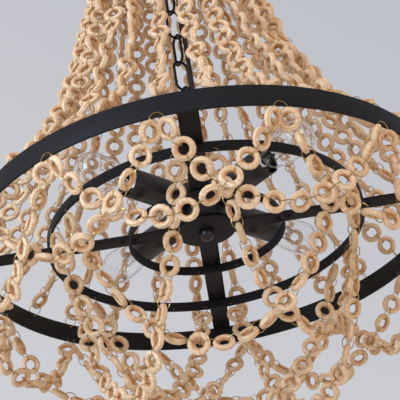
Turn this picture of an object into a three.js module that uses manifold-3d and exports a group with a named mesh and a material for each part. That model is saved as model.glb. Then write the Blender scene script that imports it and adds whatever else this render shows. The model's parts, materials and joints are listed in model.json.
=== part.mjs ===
import * as THREE from 'three';
import { mergeVertices } from 'three/addons/utils/BufferGeometryUtils.js';
import Module from 'manifold-3d';

// A beaded chandelier: three black steel rings on crossed straps, four lamps on a hub, and
// strands of linked wooden rings. Millimetres, +Z up, origin on the ceiling face of the bracket.

const wasm = await Module();
wasm.setup();

// Clearances
const seatGap = 0.3;            // between faces that rest on each other
const boreGap = 0.3;            // radial, round a tube or cord in its hole
const overrun = 2;              // how far a cut runs past the face that it opens

// Threaded tubes that hold the fitting together
const tubeRadius = 5;
const tubeBore = 3.2;

// Ceiling bracket
const bracketLength = 110;
const bracketWidth = 26;
const bracketThickness = 2.5;
const bracketCorner = 5;
const bossRadius = 9;
const bossHeight = 6;
const slotLength = 20;
const slotWidth = 5;
const slotReach = 38;           // slot centre from the axis

// Canopy, its collar and its loop
const canopyRadius = 65;
const canopyHeight = 30;
const canopyWall = 1.2;
const canopyFlatRadius = 38;
const canopyRimHeight = 6;
const canopyHoleRadius = 13.5;
const loopBodyRadius = 12;
const loopBodyInside = 12;      // length of the loop's body above the canopy floor
const loopBodyOutside = 10;     // and below it
const nippleLength = 23;
const collarHeight = 8;
const collarWall = 4.7;

// Chain
const linkPitch = 44.4;
const linkWidth = 24;
const linkWireRadius = 1.9;
const ceilingLinkTurn = 30;     // degrees, the plane of the upper link
const innerLinkCount = 8;
const linkBite = 0.8;           // how far the inner links press into each other

// Wire eyes that the chain hangs on
const bigEyeRadius = 9;
const bigEyeWire = 2.2;
const smallEyeRadius = 6;
const smallEyeWire = 2;
const eyeSink = 1.5;            // how far an eye is let into its body

// Crown, the small ring that the strands hang from
const crownRadius = 92;
const crownHeight = 12;
const crownWall = 3;
const crownRise = 468;          // from the strap plane to the crown bars
const crownBarWidth = 20;
const crownFlangeRadius = 15;
const crownFlangeHeight = 6;
const loopStubRadius = 9;       // bodies of the crown's two loops
const crownTopStub = 20;        // body of the top loop, its flange included
const crownStemLength = 9;      // threaded stem inside the lower loop

// Straps and rings
const strapWidth = 24;
const strapThickness = 2.7;
const outerRadius = 300;
const outerWall = 3;
const outerHeight = 26.85;
const outerRise = 3.15;         // top edge above the straps' underside
const middleRadius = 200.5;
const middleHeight = 13.2;
const hubRingRadius = 99.5;
const hubRingHeight = 11.7;
const innerWall = 3;            // wall of the two inner rings
const rivetRadius = 3;
const rivetHeight = 2;
const rivetOffset = 7;          // from the wall of the ring
const rivetSink = 0.5;          // let into the strap

// Hub
const hubRadius = 36;
const hubHeight = 50;
const hubWall = 1.5;
const hubPlateRadius = 38;
const hubPlateThickness = 3;
const finialRadius = 10;
const finialFlat = 3;           // from the ball's centre to its flat top
const finialBore = 8;
const hubEyeNeck = 5.5;
const hubEyeNeckHeight = 22.5;

// Lamps
const lampCount = 4;
const lampTurn = 45;            // degrees from the straps
const lampRise = 34;            // axis above the straps' underside
const cupRear = 38;
const cupMouth = 122;
const cupRadius = 18.5;
const cupWall = 1.5;
const nutRadius = 8;
const nutThickness = 2.5;
const nutInset = 1;             // nut to the inner wall, over its own corner
const washerRadius = 7.5;
const holderRear = 58;
const holderMouth = 112;
const holderRadius = 15.5;
const holderCavityRadius = 13.4;
const holderCavityDepth = 28;
const holderSeatDepth = 8;
const baseRadius = 12.9;
const baseLength = 28.4;
const baseTipRadius = 4;
const baseConeLength = 4.5;
const bulbRadius = 22.5;
const bulbTip = 198;
const bulbWall = 1;
const bulbNeckRadius = 13.2;
const mountRadius = 8.5;        // glass mount inside the bulb
const mountLength = 38;
const mountTopRadius = 2.5;

// Power cord and what it goes through
const cordRadius = 3.2;
const cordBesideChain = new THREE.Vector2(11.6, -3.1);
const cordAtCrown = new THREE.Vector2(14.5, -14.5);
const cordAtCanopy = new THREE.Vector2(20, -20);
const cordEndInHub = 8;         // below the hub's top
const cordEndInCanopy = 6;      // above the canopy's underside
const bushingFlange = 5;
const bushingHeight = 3;
const bushingNeckWall = 1.1;
const grommetBore = 5;
const grommetWall = 1.2;
const grommetLip = 1.8;
const grommetLipHeight = 1.6;
const connectorLength = 18;
const connectorRadius = 6;
const connectorTop = 4;
const hubConnectorLength = 20;
const hubConnectorReach = 22;
const cordSteps = 36;
const cordSides = 8;
const leadRadius = 1.2;
const leadSpread = 3;
const leadSink = 2;             // let into its connector

// Strands of linked wooden rings
const ringPitch = 27.6;
const beadRadius = 9;
const linkRadius = 2.2;         // wire loop between two wooden rings
const domeStrandCount = 28;
const domeSlack = 1.025;        // strand length over its straight distance
const domeNodeCount = 4;
const swagCount = 14;
const swagReach = 2;            // hooks from one end of an outer swag to the other
const swagSag = 102;
const swagEndSpread = 3;        // from a hook to the start of each strand on it
const swagWeave = 8.2;          // how far a strand gives way where two cross
const middleSwagCount = 6;
const middleHookOffset = 6;     // degrees either side of each sixth of the ring
const middleSagShares = [0.84, 1.075, 0.975];     // of the ring's radius, in turn
const middleWeaveShares = [-0.4, 1, 1];           // of the weave, where each meets the next
const hookInset = 1.5;          // from a band's outer face to the middle of its wall
const hookLength = 3;           // upright end of a strand at its hook
const hangerRadius = 2;         // round wire under the crown that the dome's strands hang on

// Segments round each kind of turned piece
const fine = 72;
const smooth = 40;
const medium = 20;
const coarse = 10;
const rough = 6;
const wireSteps = 10;           // round a wire eye or link, with a point at its top
const arcSteps = 3;             // along a quarter of a rounded profile
const lampSegments = 12;
const cupSegments = 16;
const beadSides = 3;

// Heights, worked out from the ceiling down
const canopyFloor = -canopyHeight;
const loopBodyTop = canopyFloor + loopBodyInside;
const loopBodyBottom = canopyFloor - loopBodyOutside;
const canopyEye = loopBodyBottom - (bigEyeRadius + bigEyeWire - eyeSink);
const linkHalf = (linkPitch + 2 * linkWireRadius + seatGap) / 2;
const innerLinkHalf = (linkPitch + 2 * linkWireRadius - linkBite) / 2;
const bigContact = bigEyeWire + linkWireRadius + seatGap;
const smallContact = smallEyeWire + linkWireRadius + seatGap;
const upperLinkZ = canopyEye - bigEyeRadius + bigContact - linkHalf;
const lowerLinkZ = upperLinkZ - linkPitch;
const crownEyeZ = lowerLinkZ - linkHalf + bigContact - bigEyeRadius;
const crownStubTop = crownEyeZ - (bigEyeRadius + bigEyeWire - eyeSink);
const crownStubBottom = crownStubTop - crownTopStub;
const crownBarTop = crownStubBottom - seatGap;
const crownBarZ = crownBarTop - strapThickness;
const strapZ = crownBarZ - crownRise;
const hubBase = strapZ + strapThickness + seatGap;
const hubTop = hubBase + hubHeight;
const hubEyeZ = hubTop + seatGap + hubEyeNeckHeight + smallEyeRadius + smallEyeWire - eyeSink;
const firstLinkZ = hubEyeZ + smallEyeRadius - smallContact + innerLinkHalf;
const lastLinkZ = firstLinkZ + (innerLinkCount - 1) * linkPitch;
const crownLowerEyeZ = lastLinkZ + innerLinkHalf - smallContact + smallEyeRadius;
const hubPlateTop = strapZ - seatGap;
const hubPlateBottom = hubPlateTop - hubPlateThickness;
const lampZ = strapZ + lampRise;

// Finishes, from the photograph
const finishes = {
  black: { color: 0x2b2c30, roughness: 0.55, metalness: 0.35 },
  wood: { color: 0xe3c9a4, roughness: 0.7, metalness: 0 },
  brass: { color: 0xb8862f, roughness: 0.35, metalness: 0.9 },
  steel: { color: 0xb9bbbd, roughness: 0.4, metalness: 0.9 },
  glass: { color: 0xf2f4f4, roughness: 0.05, metalness: 0, transparent: true, opacity: 0.3 },
  phenolic: { color: 0x1f1e1d, roughness: 0.4, metalness: 0 },
  plastic: { color: 0xc9632b, roughness: 0.5, metalness: 0 },
  cord: { color: 0x17181a, roughness: 0.6, metalness: 0 },
};

const chandelier = new THREE.Group();

// Makes one named piece and puts it in its group
function piece(name, finish, geometry, parent = chandelier) {
  const mesh = new THREE.Mesh(geometry, new THREE.MeshStandardMaterial(finishes[finish]));
  mesh.name = name;
  parent.add(mesh);
  return mesh;
}

// Merges a geometry's shared vertices and turns its faces outwards
function closed(geometry) {
  geometry.deleteAttribute('normal');
  geometry.deleteAttribute('uv');
  const merged = mergeVertices(geometry);
  const index = merged.index.array;
  const corner = [new THREE.Vector3(), new THREE.Vector3(), new THREE.Vector3()];
  let volume = 0;
  for (let i = 0; i < index.length; i += 3) {
    corner.forEach((v, k) => v.fromBufferAttribute(merged.attributes.position, index[i + k]));
    volume += corner[0].dot(corner[1].cross(corner[2]));
  }
  if (volume < 0) {
    for (let i = 0; i < index.length; i += 3) {
      [index[i], index[i + 1]] = [index[i + 1], index[i]];
    }
  }
  return merged;
}

function toManifold(geometry) {
  const solid = closed(geometry);
  const vertProperties = new Float32Array(solid.attributes.position.array);
  const triVerts = new Uint32Array(solid.index.array);
  return new wasm.Manifold(new wasm.Mesh({ numProp: 3, vertProperties, triVerts }));
}

function fromManifold(solid) {
  const mesh = solid.getMesh();
  const geometry = new THREE.BufferGeometry();
  geometry.setAttribute('position', new THREE.Float32BufferAttribute(mesh.vertProperties, 3));
  geometry.setIndex(new THREE.Uint32BufferAttribute(mesh.triVerts, 1));
  return geometry;
}

function cut(body, ...tools) {
  return fromManifold(tools.reduce((solid, tool) => solid.subtract(toManifold(tool)), toManifold(body)));
}

function join(body, ...others) {
  return fromManifold(others.reduce((solid, other) => solid.add(toManifold(other)), toManifold(body)));
}

// A block between two corners
function block(x0, y0, z0, x1, y1, z1) {
  const shape = new THREE.BoxGeometry(x1 - x0, y1 - y0, z1 - z0);
  return shape.translate((x0 + x1) / 2, (y0 + y1) / 2, (z0 + z1) / 2);
}

// An upright cylinder between two heights
function post(radius, z0, z1, segments = medium) {
  const shape = new THREE.CylinderGeometry(radius, radius, z1 - z0, segments);
  return shape.rotateX(Math.PI / 2).translate(0, 0, (z0 + z1) / 2);
}

// A solid turned about Z from a profile of [radius, height] points
function turned(profile, segments = medium) {
  const points = profile.map(([r, z]) => new THREE.Vector2(r, z));
  return closed(new THREE.LatheGeometry(points, segments).rotateX(Math.PI / 2));
}

// An upright ring with a square section
function band(inner, outer, z0, z1, segments = medium) {
  return turned([[inner, z0], [outer, z0], [outer, z1], [inner, z1], [inner, z0]], segments);
}

// A round wire ring that stands in the XZ plane
function eye(radius, wire, z) {
  return new THREE.TorusGeometry(radius, wire, rough, wireSteps).rotateX(Math.PI / 2).translate(0, 0, z);
}

// An oval chain link: a wire ring parted at its middle and drawn out
function chainLink(z, half, turn) {
  const bend = linkWidth / 2 - linkWireRadius;
  const shape = new THREE.TorusGeometry(bend, linkWireRadius, rough, wireSteps);
  shape.rotateZ(Math.PI / wireSteps).rotateX(Math.PI / 2);
  const position = shape.attributes.position;
  for (let i = 0; i < position.count; i += 1) {
    position.setZ(i, position.getZ(i) + Math.sign(position.getZ(i)) * (half - bend));
  }
  return shape.rotateZ(turn).translate(0, 0, z);
}

// Ceiling bracket, with a blind boss for the tube and two slots for the ceiling box's screws
function bracket() {
  const outline = new THREE.Shape();
  const x = bracketLength / 2;
  const y = bracketWidth / 2;
  const c = bracketCorner;
  outline.moveTo(c - x, -y);
  outline.lineTo(x - c, -y);
  outline.absarc(x - c, c - y, c, -Math.PI / 2, 0);
  outline.absarc(x - c, y - c, c, 0, Math.PI / 2);
  outline.absarc(c - x, y - c, c, Math.PI / 2, Math.PI);
  outline.absarc(c - x, c - y, c, Math.PI, 1.5 * Math.PI);
  for (const side of [-1, 1]) {
    const slot = new THREE.Path();
    const half = (slotLength - slotWidth) / 2;
    slot.absarc(side * slotReach + half, 0, slotWidth / 2, -Math.PI / 2, Math.PI / 2);
    slot.absarc(side * slotReach - half, 0, slotWidth / 2, Math.PI / 2, 1.5 * Math.PI);
    outline.holes.push(slot);
  }
  const options = { depth: bracketThickness, bevelEnabled: false, curveSegments: rough };
  const plate = new THREE.ExtrudeGeometry(outline, options).translate(0, 0, -bracketThickness);
  const bossBottom = -bracketThickness - bossHeight;
  const boss = post(bossRadius, bossBottom, -bracketThickness / 2, coarse);
  const bore = post(tubeRadius + boreGap, bossBottom - overrun, -bracketThickness - seatGap, coarse);
  return cut(join(plate, boss), bore);
}

// Canopy: a shallow cup with a hole for the loop and one for the cord
function canopy() {
  const rise = canopyHeight - canopyRimHeight - seatGap;
  const spread = canopyRadius - canopyFlatRadius;
  const outer = [];
  const inner = [];
  for (let i = 0; i <= arcSteps; i += 1) {
    const angle = (Math.PI / 2) * (i / arcSteps);
    const [c, s] = [Math.cos(angle), Math.sin(angle)];
    outer.push([canopyFlatRadius + spread * s, canopyFloor + rise * (1 - c)]);
    const wall = canopyWall;
    inner.unshift([canopyFlatRadius + (spread - wall) * s, canopyFloor + wall + (rise - wall) * (1 - c)]);
  }
  const profile = [
    [canopyHoleRadius, canopyFloor], ...outer, [canopyRadius, -seatGap],
    [canopyRadius - canopyWall, -seatGap], ...inner,
    [canopyHoleRadius, canopyFloor + canopyWall], [canopyHoleRadius, canopyFloor],
  ];
  const hole = post(grommetBore + grommetWall + boreGap, canopyFloor - overrun, canopyFloor + canopyWall + overrun);
  return cut(turned(profile, medium), hole.translate(cordAtCanopy.x, cordAtCanopy.y, 0));
}

// Grommet: a neck through the canopy with a lip above and below
function grommet() {
  const neck = grommetBore + grommetWall;
  const lip = neck + grommetLip;
  const low = canopyFloor - seatGap;
  const high = canopyFloor + canopyWall + seatGap;
  const profile = [
    [grommetBore, low - grommetLipHeight], [lip, low - grommetLipHeight], [lip, low], [neck, low],
    [neck, high], [lip, high], [lip, high + grommetLipHeight],
    [grommetBore, high + grommetLipHeight], [grommetBore, low - grommetLipHeight],
  ];
  return turned(profile, coarse).translate(cordAtCanopy.x, cordAtCanopy.y, 0);
}

function canopyLoop(turn) {
  const body = post(loopBodyRadius, loopBodyBottom, loopBodyTop, medium);
  const ring = eye(bigEyeRadius, bigEyeWire, canopyEye);
  const boreEnd = -bracketThickness - seatGap - nippleLength - seatGap;
  const bore = post(tubeRadius + boreGap, boreEnd, loopBodyTop + overrun, coarse);
  return cut(join(body, ring), bore).rotateZ(turn);
}

// A tapered screw-on wire connector, mouth down
function connector(length, x, y, z) {
  const profile = [
    [0, z], [connectorRadius, z], [connectorRadius, z + length / 2],
    [connectorTop, z + length], [0, z + length],
  ];
  return turned(profile, rough).translate(x, y, 0);
}

function canopyConnectors() {
  const mouth = canopyFloor + cordEndInCanopy + seatGap;
  const shift = connectorTop * Math.SQRT1_2;
  const [first, second] = [-1, 1].map((side) => connector(
    connectorLength,
    cordAtCanopy.x + side * shift,
    cordAtCanopy.y + side * shift,
    mouth,
  ));
  return join(first, second);
}

// A strap with half its thickness cut away where it crosses the other, and small weld
// domes under it either side of the rings that it carries
function lappedStrap(length, width, z, keepsTop, ringRadii = []) {
  const strap = block(-length / 2, -width / 2, z, length / 2, width / 2, z + strapThickness);
  const middle = z + strapThickness / 2;
  const reach = width / 2 + seatGap;
  const lap = keepsTop
    ? block(-reach, -reach, z - overrun, reach, reach, middle + seatGap / 2)
    : block(-reach, -reach, middle - seatGap / 2, reach, reach, z + strapThickness + overrun);
  const hole = post(tubeRadius + boreGap, z - overrun, z + strapThickness + overrun, coarse);
  const domes = [];
  for (const radius of ringRadii) {
    for (const x of [radius + rivetOffset, radius - innerWall - rivetOffset]) {
      domes.push(rivetHead(z).translate(x, 0, 0), rivetHead(z).translate(-x, 0, 0));
    }
  }
  return cut(join(strap, ...domes), lap, hole);
}

function rivetHead(z) {
  return turned([
    [0, z - rivetHeight], [rivetRadius * 0.7, z - rivetHeight * 0.7], [rivetRadius, z],
    [rivetRadius, z + rivetSink], [0, z + rivetSink],
  ], rough);
}

// Longest strap of a given width inside a ring's inner face
function strapLength(innerRadius, width) {
  const facet = innerRadius * Math.cos(Math.PI / smooth);
  return 2 * (Math.sqrt(facet ** 2 - (width / 2) ** 2) - seatGap);
}

// The crown's top loop: an eye on a flanged body, with a threaded stem down through the bars
function crownTopLoop() {
  const body = post(loopStubRadius, crownStubBottom, crownStubTop, coarse);
  const flange = post(crownFlangeRadius, crownStubBottom, crownStubBottom + crownFlangeHeight, medium);
  const stem = post(tubeRadius, crownBarZ - seatGap - crownStemLength, crownStubBottom + overrun, coarse);
  const ring = eye(bigEyeRadius, bigEyeWire, crownEyeZ).rotateZ(THREE.MathUtils.degToRad(ceilingLinkTurn));
  return join(body, flange, stem, ring);
}

// The loop that is screwed on the stem under the bars, and carries the inner chain
function crownBottomLoop() {
  const face = crownBarZ - seatGap;
  const bodyEnd = crownLowerEyeZ + smallEyeRadius + smallEyeWire - eyeSink;
  const body = post(loopStubRadius, bodyEnd, face, coarse);
  const ring = eye(smallEyeRadius, smallEyeWire, crownLowerEyeZ).rotateZ(innerTurn(innerLinkCount));
  const bore = post(tubeRadius + boreGap, face - crownStemLength - seatGap, face + overrun, coarse);
  return cut(join(body, ring), bore);
}

function hubBody() {
  const inner = hubRadius - hubWall;
  const profile = [
    [tubeRadius + boreGap, hubTop - hubWall], [inner, hubTop - hubWall], [inner, hubBase],
    [hubRadius, hubBase], [hubRadius, hubTop], [tubeRadius + boreGap, hubTop],
    [tubeRadius + boreGap, hubTop - hubWall],
  ];
  const holes = [];
  for (let i = 0; i < lampCount; i += 1) {
    const side = post(tubeRadius + boreGap, inner - overrun - nutInset, hubRadius + overrun, coarse);
    holes.push(alongLamp(side, i));
  }
  const cordHole = post(bushingNeck() + boreGap, hubTop - hubWall - overrun, hubTop + overrun, coarse);
  holes.push(cordHole.translate(cordBesideChain.x, cordBesideChain.y, 0));
  return cut(turned(profile, medium), ...holes);
}

function bushingNeck() {
  return cordRadius + boreGap + bushingNeckWall;
}

function cordBushing() {
  const bore = cordRadius + boreGap;
  const neck = bushingNeck();
  const seat = hubTop + seatGap;
  const profile = [
    [bore, hubTop - hubWall], [neck, hubTop - hubWall], [neck, seat], [bushingFlange, seat],
    [bushingFlange, seat + bushingHeight / 2], [neck, seat + bushingHeight],
    [bore, seat + bushingHeight], [bore, hubTop - hubWall],
  ];
  return turned(profile, coarse).translate(cordBesideChain.x, cordBesideChain.y, 0);
}

// The ball under the hub, flat and bored on top
function finialBall() {
  const centre = hubPlateBottom - seatGap - finialFlat;
  const flatAngle = Math.acos(finialFlat / finialRadius);
  const profile = [];
  for (let i = 0; i <= rough; i += 1) {
    const angle = Math.PI - (Math.PI - flatAngle) * (i / rough);
    profile.push([finialRadius * Math.sin(angle), centre + finialRadius * Math.cos(angle)]);
  }
  profile[0] = [0, centre - finialRadius];
  const mouth = centre + finialFlat;
  const bore = tubeRadius + boreGap;
  profile.push([bore, mouth], [bore, mouth - finialBore - seatGap], [0, mouth - finialBore - seatGap]);
  return turned(profile, coarse);
}

function hubTopLoop() {
  const base = hubTop + seatGap;
  const neck = post(hubEyeNeck, base, base + hubEyeNeckHeight + eyeSink, coarse);
  const ring = eye(smallEyeRadius, smallEyeWire, hubEyeZ);
  const trimmed = cut(ring, post(hubEyeNeck + overrun, base - smallEyeRadius, base, coarse));
  return join(neck, trimmed).rotateZ(innerTurn(-1));
}

// The plane of an inner chain link, counted from the hub
function innerTurn(i) {
  return THREE.MathUtils.degToRad(ceilingLinkTurn + (i % 2 === 0 ? 90 : 0));
}

function innerChain() {
  const links = [];
  for (let i = 0; i < innerLinkCount; i += 1) {
    links.push(chainLink(firstLinkZ + i * linkPitch, innerLinkHalf, innerTurn(i)));
  }
  return join(...links);
}

// Lays a shape made along Z down along a lamp's axis
function alongLamp(shape, i) {
  const turn = THREE.MathUtils.degToRad(lampTurn) + (i * 2 * Math.PI) / lampCount;
  return shape.rotateY(Math.PI / 2).rotateZ(turn).translate(0, 0, lampZ);
}

function socketCup() {
  const inner = cupRadius - cupWall;
  const hole = tubeRadius + boreGap;
  return turned([
    [hole, cupRear], [cupRadius, cupRear], [cupRadius, cupMouth], [inner, cupMouth],
    [inner, cupRear + cupWall], [hole, cupRear + cupWall], [hole, cupRear],
  ], cupSegments);
}

// Threaded tube from the hub into the lampholder, with its nut inside the hub, the washer
// between hub and cup and the nut that clamps the cup, screwed tight on it
function socketTube() {
  const nutEnd = hubRadius - hubWall - nutInset - seatGap;
  return turned([
    [tubeBore, nutEnd - nutThickness], [nutRadius, nutEnd - nutThickness], [nutRadius, nutEnd],
    [tubeRadius, nutEnd], [tubeRadius, hubRadius + seatGap], [washerRadius, hubRadius + seatGap],
    [washerRadius, cupRear - seatGap], [tubeRadius, cupRear - seatGap],
    [tubeRadius, cupRear + cupWall + seatGap], [nutRadius, cupRear + cupWall + seatGap],
    [nutRadius, cupRear + cupWall + seatGap + nutThickness],
    [tubeRadius, cupRear + cupWall + seatGap + nutThickness],
    [tubeRadius, holderRear + holderSeatDepth], [tubeBore, holderRear + holderSeatDepth],
    [tubeBore, nutEnd - nutThickness],
  ], rough);
}

function lampholder() {
  const floor = holderMouth - holderCavityDepth;
  const seat = holderRear + holderSeatDepth + seatGap;
  const hole = tubeRadius + boreGap;
  return turned([
    [0, seat], [hole, seat], [hole, holderRear], [holderRadius, holderRear], [holderRadius, holderMouth],
    [holderCavityRadius, holderMouth], [holderCavityRadius, floor], [0, floor],
  ], lampSegments);
}

function capEnd() {
  return holderMouth - holderCavityDepth + seatGap + baseLength;
}

// Screw cap of a bulb, with the glass mount that stands in its mouth
function bulbCap() {
  const tip = capEnd() - baseLength;
  const start = capEnd() + seatGap;
  return turned([
    [0, tip], [baseTipRadius, tip], [baseRadius, tip + baseConeLength], [baseRadius, capEnd()],
    [mountRadius, capEnd()], [mountRadius, start], [mountTopRadius, start + mountLength / 3],
    [mountTopRadius, start + mountLength], [0, start + mountLength],
  ], lampSegments);
}

// Clear bulb: a ball that draws in to a neck, open where the cap holds it
function bulbGlass() {
  const start = capEnd() + seatGap;
  const centre = bulbTip - bulbRadius;
  const neckShares = [[0, 0], [0.16, 0.14], [0.4, 0.56], [0.68, 0.88]];
  const outer = neckShares.map(([along, out]) => [
    bulbNeckRadius + (bulbRadius - bulbNeckRadius) * out,
    start + (centre - start) * along,
  ]);
  const inner = outer.map(([r, x]) => [r - bulbWall, x]);
  for (let i = 0; i <= arcSteps; i += 1) {
    const angle = (Math.PI / 2) * (i / arcSteps);
    const [c, s] = [i === arcSteps ? 0 : Math.cos(angle), Math.sin(angle)];
    outer.push([bulbRadius * c, centre + bulbRadius * s]);
    inner.push([(bulbRadius - bulbWall) * c, centre + (bulbRadius - bulbWall) * s]);
  }
  return turned([...outer, ...inner.reverse(), outer[0]], lampSegments);
}

// Wiring in the hub: two wire connectors on the straps, the cord's cores that join them,
// and a lead to every lampholder
function hubWiring() {
  const seat = hubBase;
  const top = seat + hubConnectorLength;
  const solids = [-1, 1].map((side) => connector(hubConnectorLength, 0, side * hubConnectorReach, seat));
  const foot = top - leadSink;
  const rise = top + 2 * leadSink;
  const corner = cordBesideChain;
  const cordEnd = hubTop - cordEndInHub - seatGap - 2 * leadRadius;
  solids.push(tube([
    new THREE.Vector3(0, -hubConnectorReach, foot),
    new THREE.Vector3(0, -hubConnectorReach, rise),
    new THREE.Vector3(corner.x, corner.y, cordEnd),
    new THREE.Vector3(corner.x, -corner.y, cordEnd),
    new THREE.Vector3(0, hubConnectorReach, rise),
    new THREE.Vector3(0, hubConnectorReach, foot),
  ], leadRadius, coarse, rough));
  const nutFace = hubRadius - hubWall - nutThickness - nutInset - seatGap;
  for (let i = 0; i < lampCount; i += 1) {
    const turn = THREE.MathUtils.degToRad(lampTurn) + (i * 2 * Math.PI) / lampCount;
    const out = new THREE.Vector3(Math.cos(turn), Math.sin(turn), 0);
    const x = Math.sign(out.x) * leadSpread;
    const y = Math.sign(out.y) * hubConnectorReach;
    solids.push(tube([
      new THREE.Vector3(x, y, foot),
      new THREE.Vector3(x, y, rise),
      out.clone().multiplyScalar(nutFace - nutThickness).setZ(lampZ),
      out.clone().multiplyScalar(hubRadius).setZ(lampZ),
      out.clone().multiplyScalar(holderRear).setZ(lampZ),
      out.clone().multiplyScalar(holderRear + holderSeatDepth).setZ(lampZ),
    ], leadRadius, coarse, rough));
  }
  return join(...solids);
}

// A round tube along a smooth curve through points
function tube(points, radius, steps, sides) {
  const section = new THREE.Shape();
  for (let i = 0; i < sides; i += 1) {
    const angle = (2 * Math.PI * i) / sides;
    const [x, y] = [radius * Math.cos(angle), radius * Math.sin(angle)];
    if (i === 0) section.moveTo(x, y);
    else section.lineTo(x, y);
  }
  const extrudePath = new THREE.CatmullRomCurve3(points);
  return new THREE.ExtrudeGeometry(section, { steps, extrudePath, bevelEnabled: false });
}

// The cord's route from the hub up beside the chain and into the canopy
function powerCord() {
  const foot = hubTop - cordEndInHub;
  const end = canopyFloor + cordEndInCanopy;
  const route = [
    [cordBesideChain, foot],
    [cordBesideChain, hubTop + 12],
    [cordBesideChain, hubTop + 100],
    [cordBesideChain, hubTop + 190],
    [cordBesideChain, hubTop + 280],
    [new THREE.Vector2(11.8, -4.6), hubTop + 335],
    [new THREE.Vector2(12.8, -9), hubTop + 372],
    [new THREE.Vector2(13.9, -13), hubTop + 398],
    [cordAtCrown, crownBarZ],
    [new THREE.Vector2(15.5, -15.5), crownBarZ + 35],
    [new THREE.Vector2(17.8, -17.8), crownBarZ + 70],
    [new THREE.Vector2(19.6, -19.6), crownBarZ + 100],
    [cordAtCanopy, canopyFloor - 30],
    [cordAtCanopy, canopyFloor],
    [cordAtCanopy, end],
  ];
  return tube(route.map(([xy, z]) => new THREE.Vector3(xy.x, xy.y, z)), cordRadius, cordSteps, cordSides);
}

// The curve a slack strand hangs in, between two points of a vertical plane
function hangingCurve(ax, az, bx, bz, length) {
  const run = bx - ax;
  const rise = bz - az;
  const target = Math.sqrt(length ** 2 - rise ** 2) / run;
  let low = 0.0001;
  let high = 12;
  for (let i = 0; i < 60; i += 1) {
    const middle = (low + high) / 2;
    if (Math.sinh(middle) / middle < target) low = middle;
    else high = middle;
  }
  const scale = run / (2 * low);
  const lean = Math.atanh(rise / length);
  const start = lean - low;
  const arc0 = scale * Math.sinh(start);
  const z0 = scale * Math.cosh(start);
  return (distance) => {
    const u = Math.asinh((arc0 + distance) / scale);
    return [ax + scale * (u - start), az + scale * Math.cosh(u) - z0];
  };
}

// Length of a strand between level ends that sags by a given depth
function saggedLength(span, sag) {
  let low = span;
  let high = span + 3 * sag;
  for (let i = 0; i < 50; i += 1) {
    const length = (low + high) / 2;
    const [, z] = hangingCurve(0, 0, span, 0, length)(length / 2);
    if (-z < sag) low = length;
    else high = length;
  }
  return low;
}

// The stops along a strand: thick at each wooden ring and thin at each wire loop between
// them. place gives the point at a share of the length, and side a direction across it.
function strandStops(place, side, length, used = 1) {
  const rings = Math.max(2, Math.round(length / ringPitch));
  const step = 1 / (4 * rings);
  const stops = [];
  for (let i = 0; i <= 2 * rings; i += 1) {
    const share = (used * i) / (2 * rings);
    const ahead = place(Math.min(1, share + step));
    const along = ahead.sub(place(Math.max(0, share - step))).normalize();
    stops.push({ point: place(share), along, side, radius: i % 2 === 0 ? linkRadius : beadRadius });
  }
  if (used < 1) stops.push({ ...stops[stops.length - 1], point: place(1) });
  return stops;
}

// An upright end that meets the edge of a band squarely
function hookStops(point, up, side) {
  const along = new THREE.Vector3(0, 0, up);
  const radius = linkRadius;
  return [0, hookLength].map((drop) => (
    { point: point.clone().addScaledVector(along, drop), along, side, radius }
  ));
}

// A three-sided tube through stops, each with its own radius; a ring has no ends
function strand(stops, isRing = false) {
  const positions = [];
  for (const { point, along, side, radius } of stops) {
    const across = side.clone().addScaledVector(along, -side.dot(along)).normalize();
    const other = along.clone().cross(across);
    for (let k = 0; k < beadSides; k += 1) {
      const angle = (2 * Math.PI * k) / beadSides;
      const corner = point.clone().addScaledVector(across, radius * Math.cos(angle));
      corner.addScaledVector(other, radius * Math.sin(angle));
      positions.push(corner.x, corner.y, corner.z);
    }
  }
  const count = stops.length;
  const index = [];
  if (!isRing) {
    const last = beadSides * (count - 1);
    index.push(0, 2, 1, last, last + 1, last + 2);
  }
  for (let i = 0; i < (isRing ? count : count - 1); i += 1) {
    const from = beadSides * i;
    const to = beadSides * ((i + 1) % count);
    for (let k = 0; k < beadSides; k += 1) {
      const next = (k + 1) % beadSides;
      index.push(from + k, from + next, to + k, from + next, to + next, to + k);
    }
  }
  const geometry = new THREE.BufferGeometry();
  geometry.setAttribute('position', new THREE.Float32BufferAttribute(positions, 3));
  geometry.setIndex(index);
  return closed(geometry);
}

// Direction at an azimuth counted from -Y towards +X
function outward(azimuth) {
  return new THREE.Vector3(Math.sin(azimuth), -Math.cos(azimuth), 0);
}

// Angle between two dome strands, which start half a step off the strap
const domeStep = (2 * Math.PI) / domeStrandCount;

// A dome strand from the outer ring's top edge to the wire under the crown. Every other one
// is a little shorter, so that its rings lie between its neighbours' where they draw together.
function domeStrand(i) {
  const foot = [outerRadius - hookInset, strapZ + outerRise + seatGap + hookLength];
  const head = [crownRadius - hookInset, crownBarZ - seatGap - hangerRadius];
  const length = domeSlack * Math.hypot(head[0] - foot[0], head[1] - foot[1]);
  const curve = hangingCurve(-foot[0], foot[1], -head[0], head[1], length);
  const out = outward((i - 0.5) * domeStep);
  const side = new THREE.Vector3(-out.y, out.x, 0);
  const place = (share) => {
    const [x, z] = curve(share * length);
    return out.clone().multiplyScalar(-x).setZ(z);
  };
  const rings = Math.round(length / ringPitch);
  const used = i % 2 === 1 ? (rings - 1) / (rings - 0.5) : 1;
  const [bottom] = hookStops(place(0).setZ(foot[1] - hookLength), 1, side);
  return strand([bottom, ...strandStops(place, side, length, used)]);
}

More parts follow.
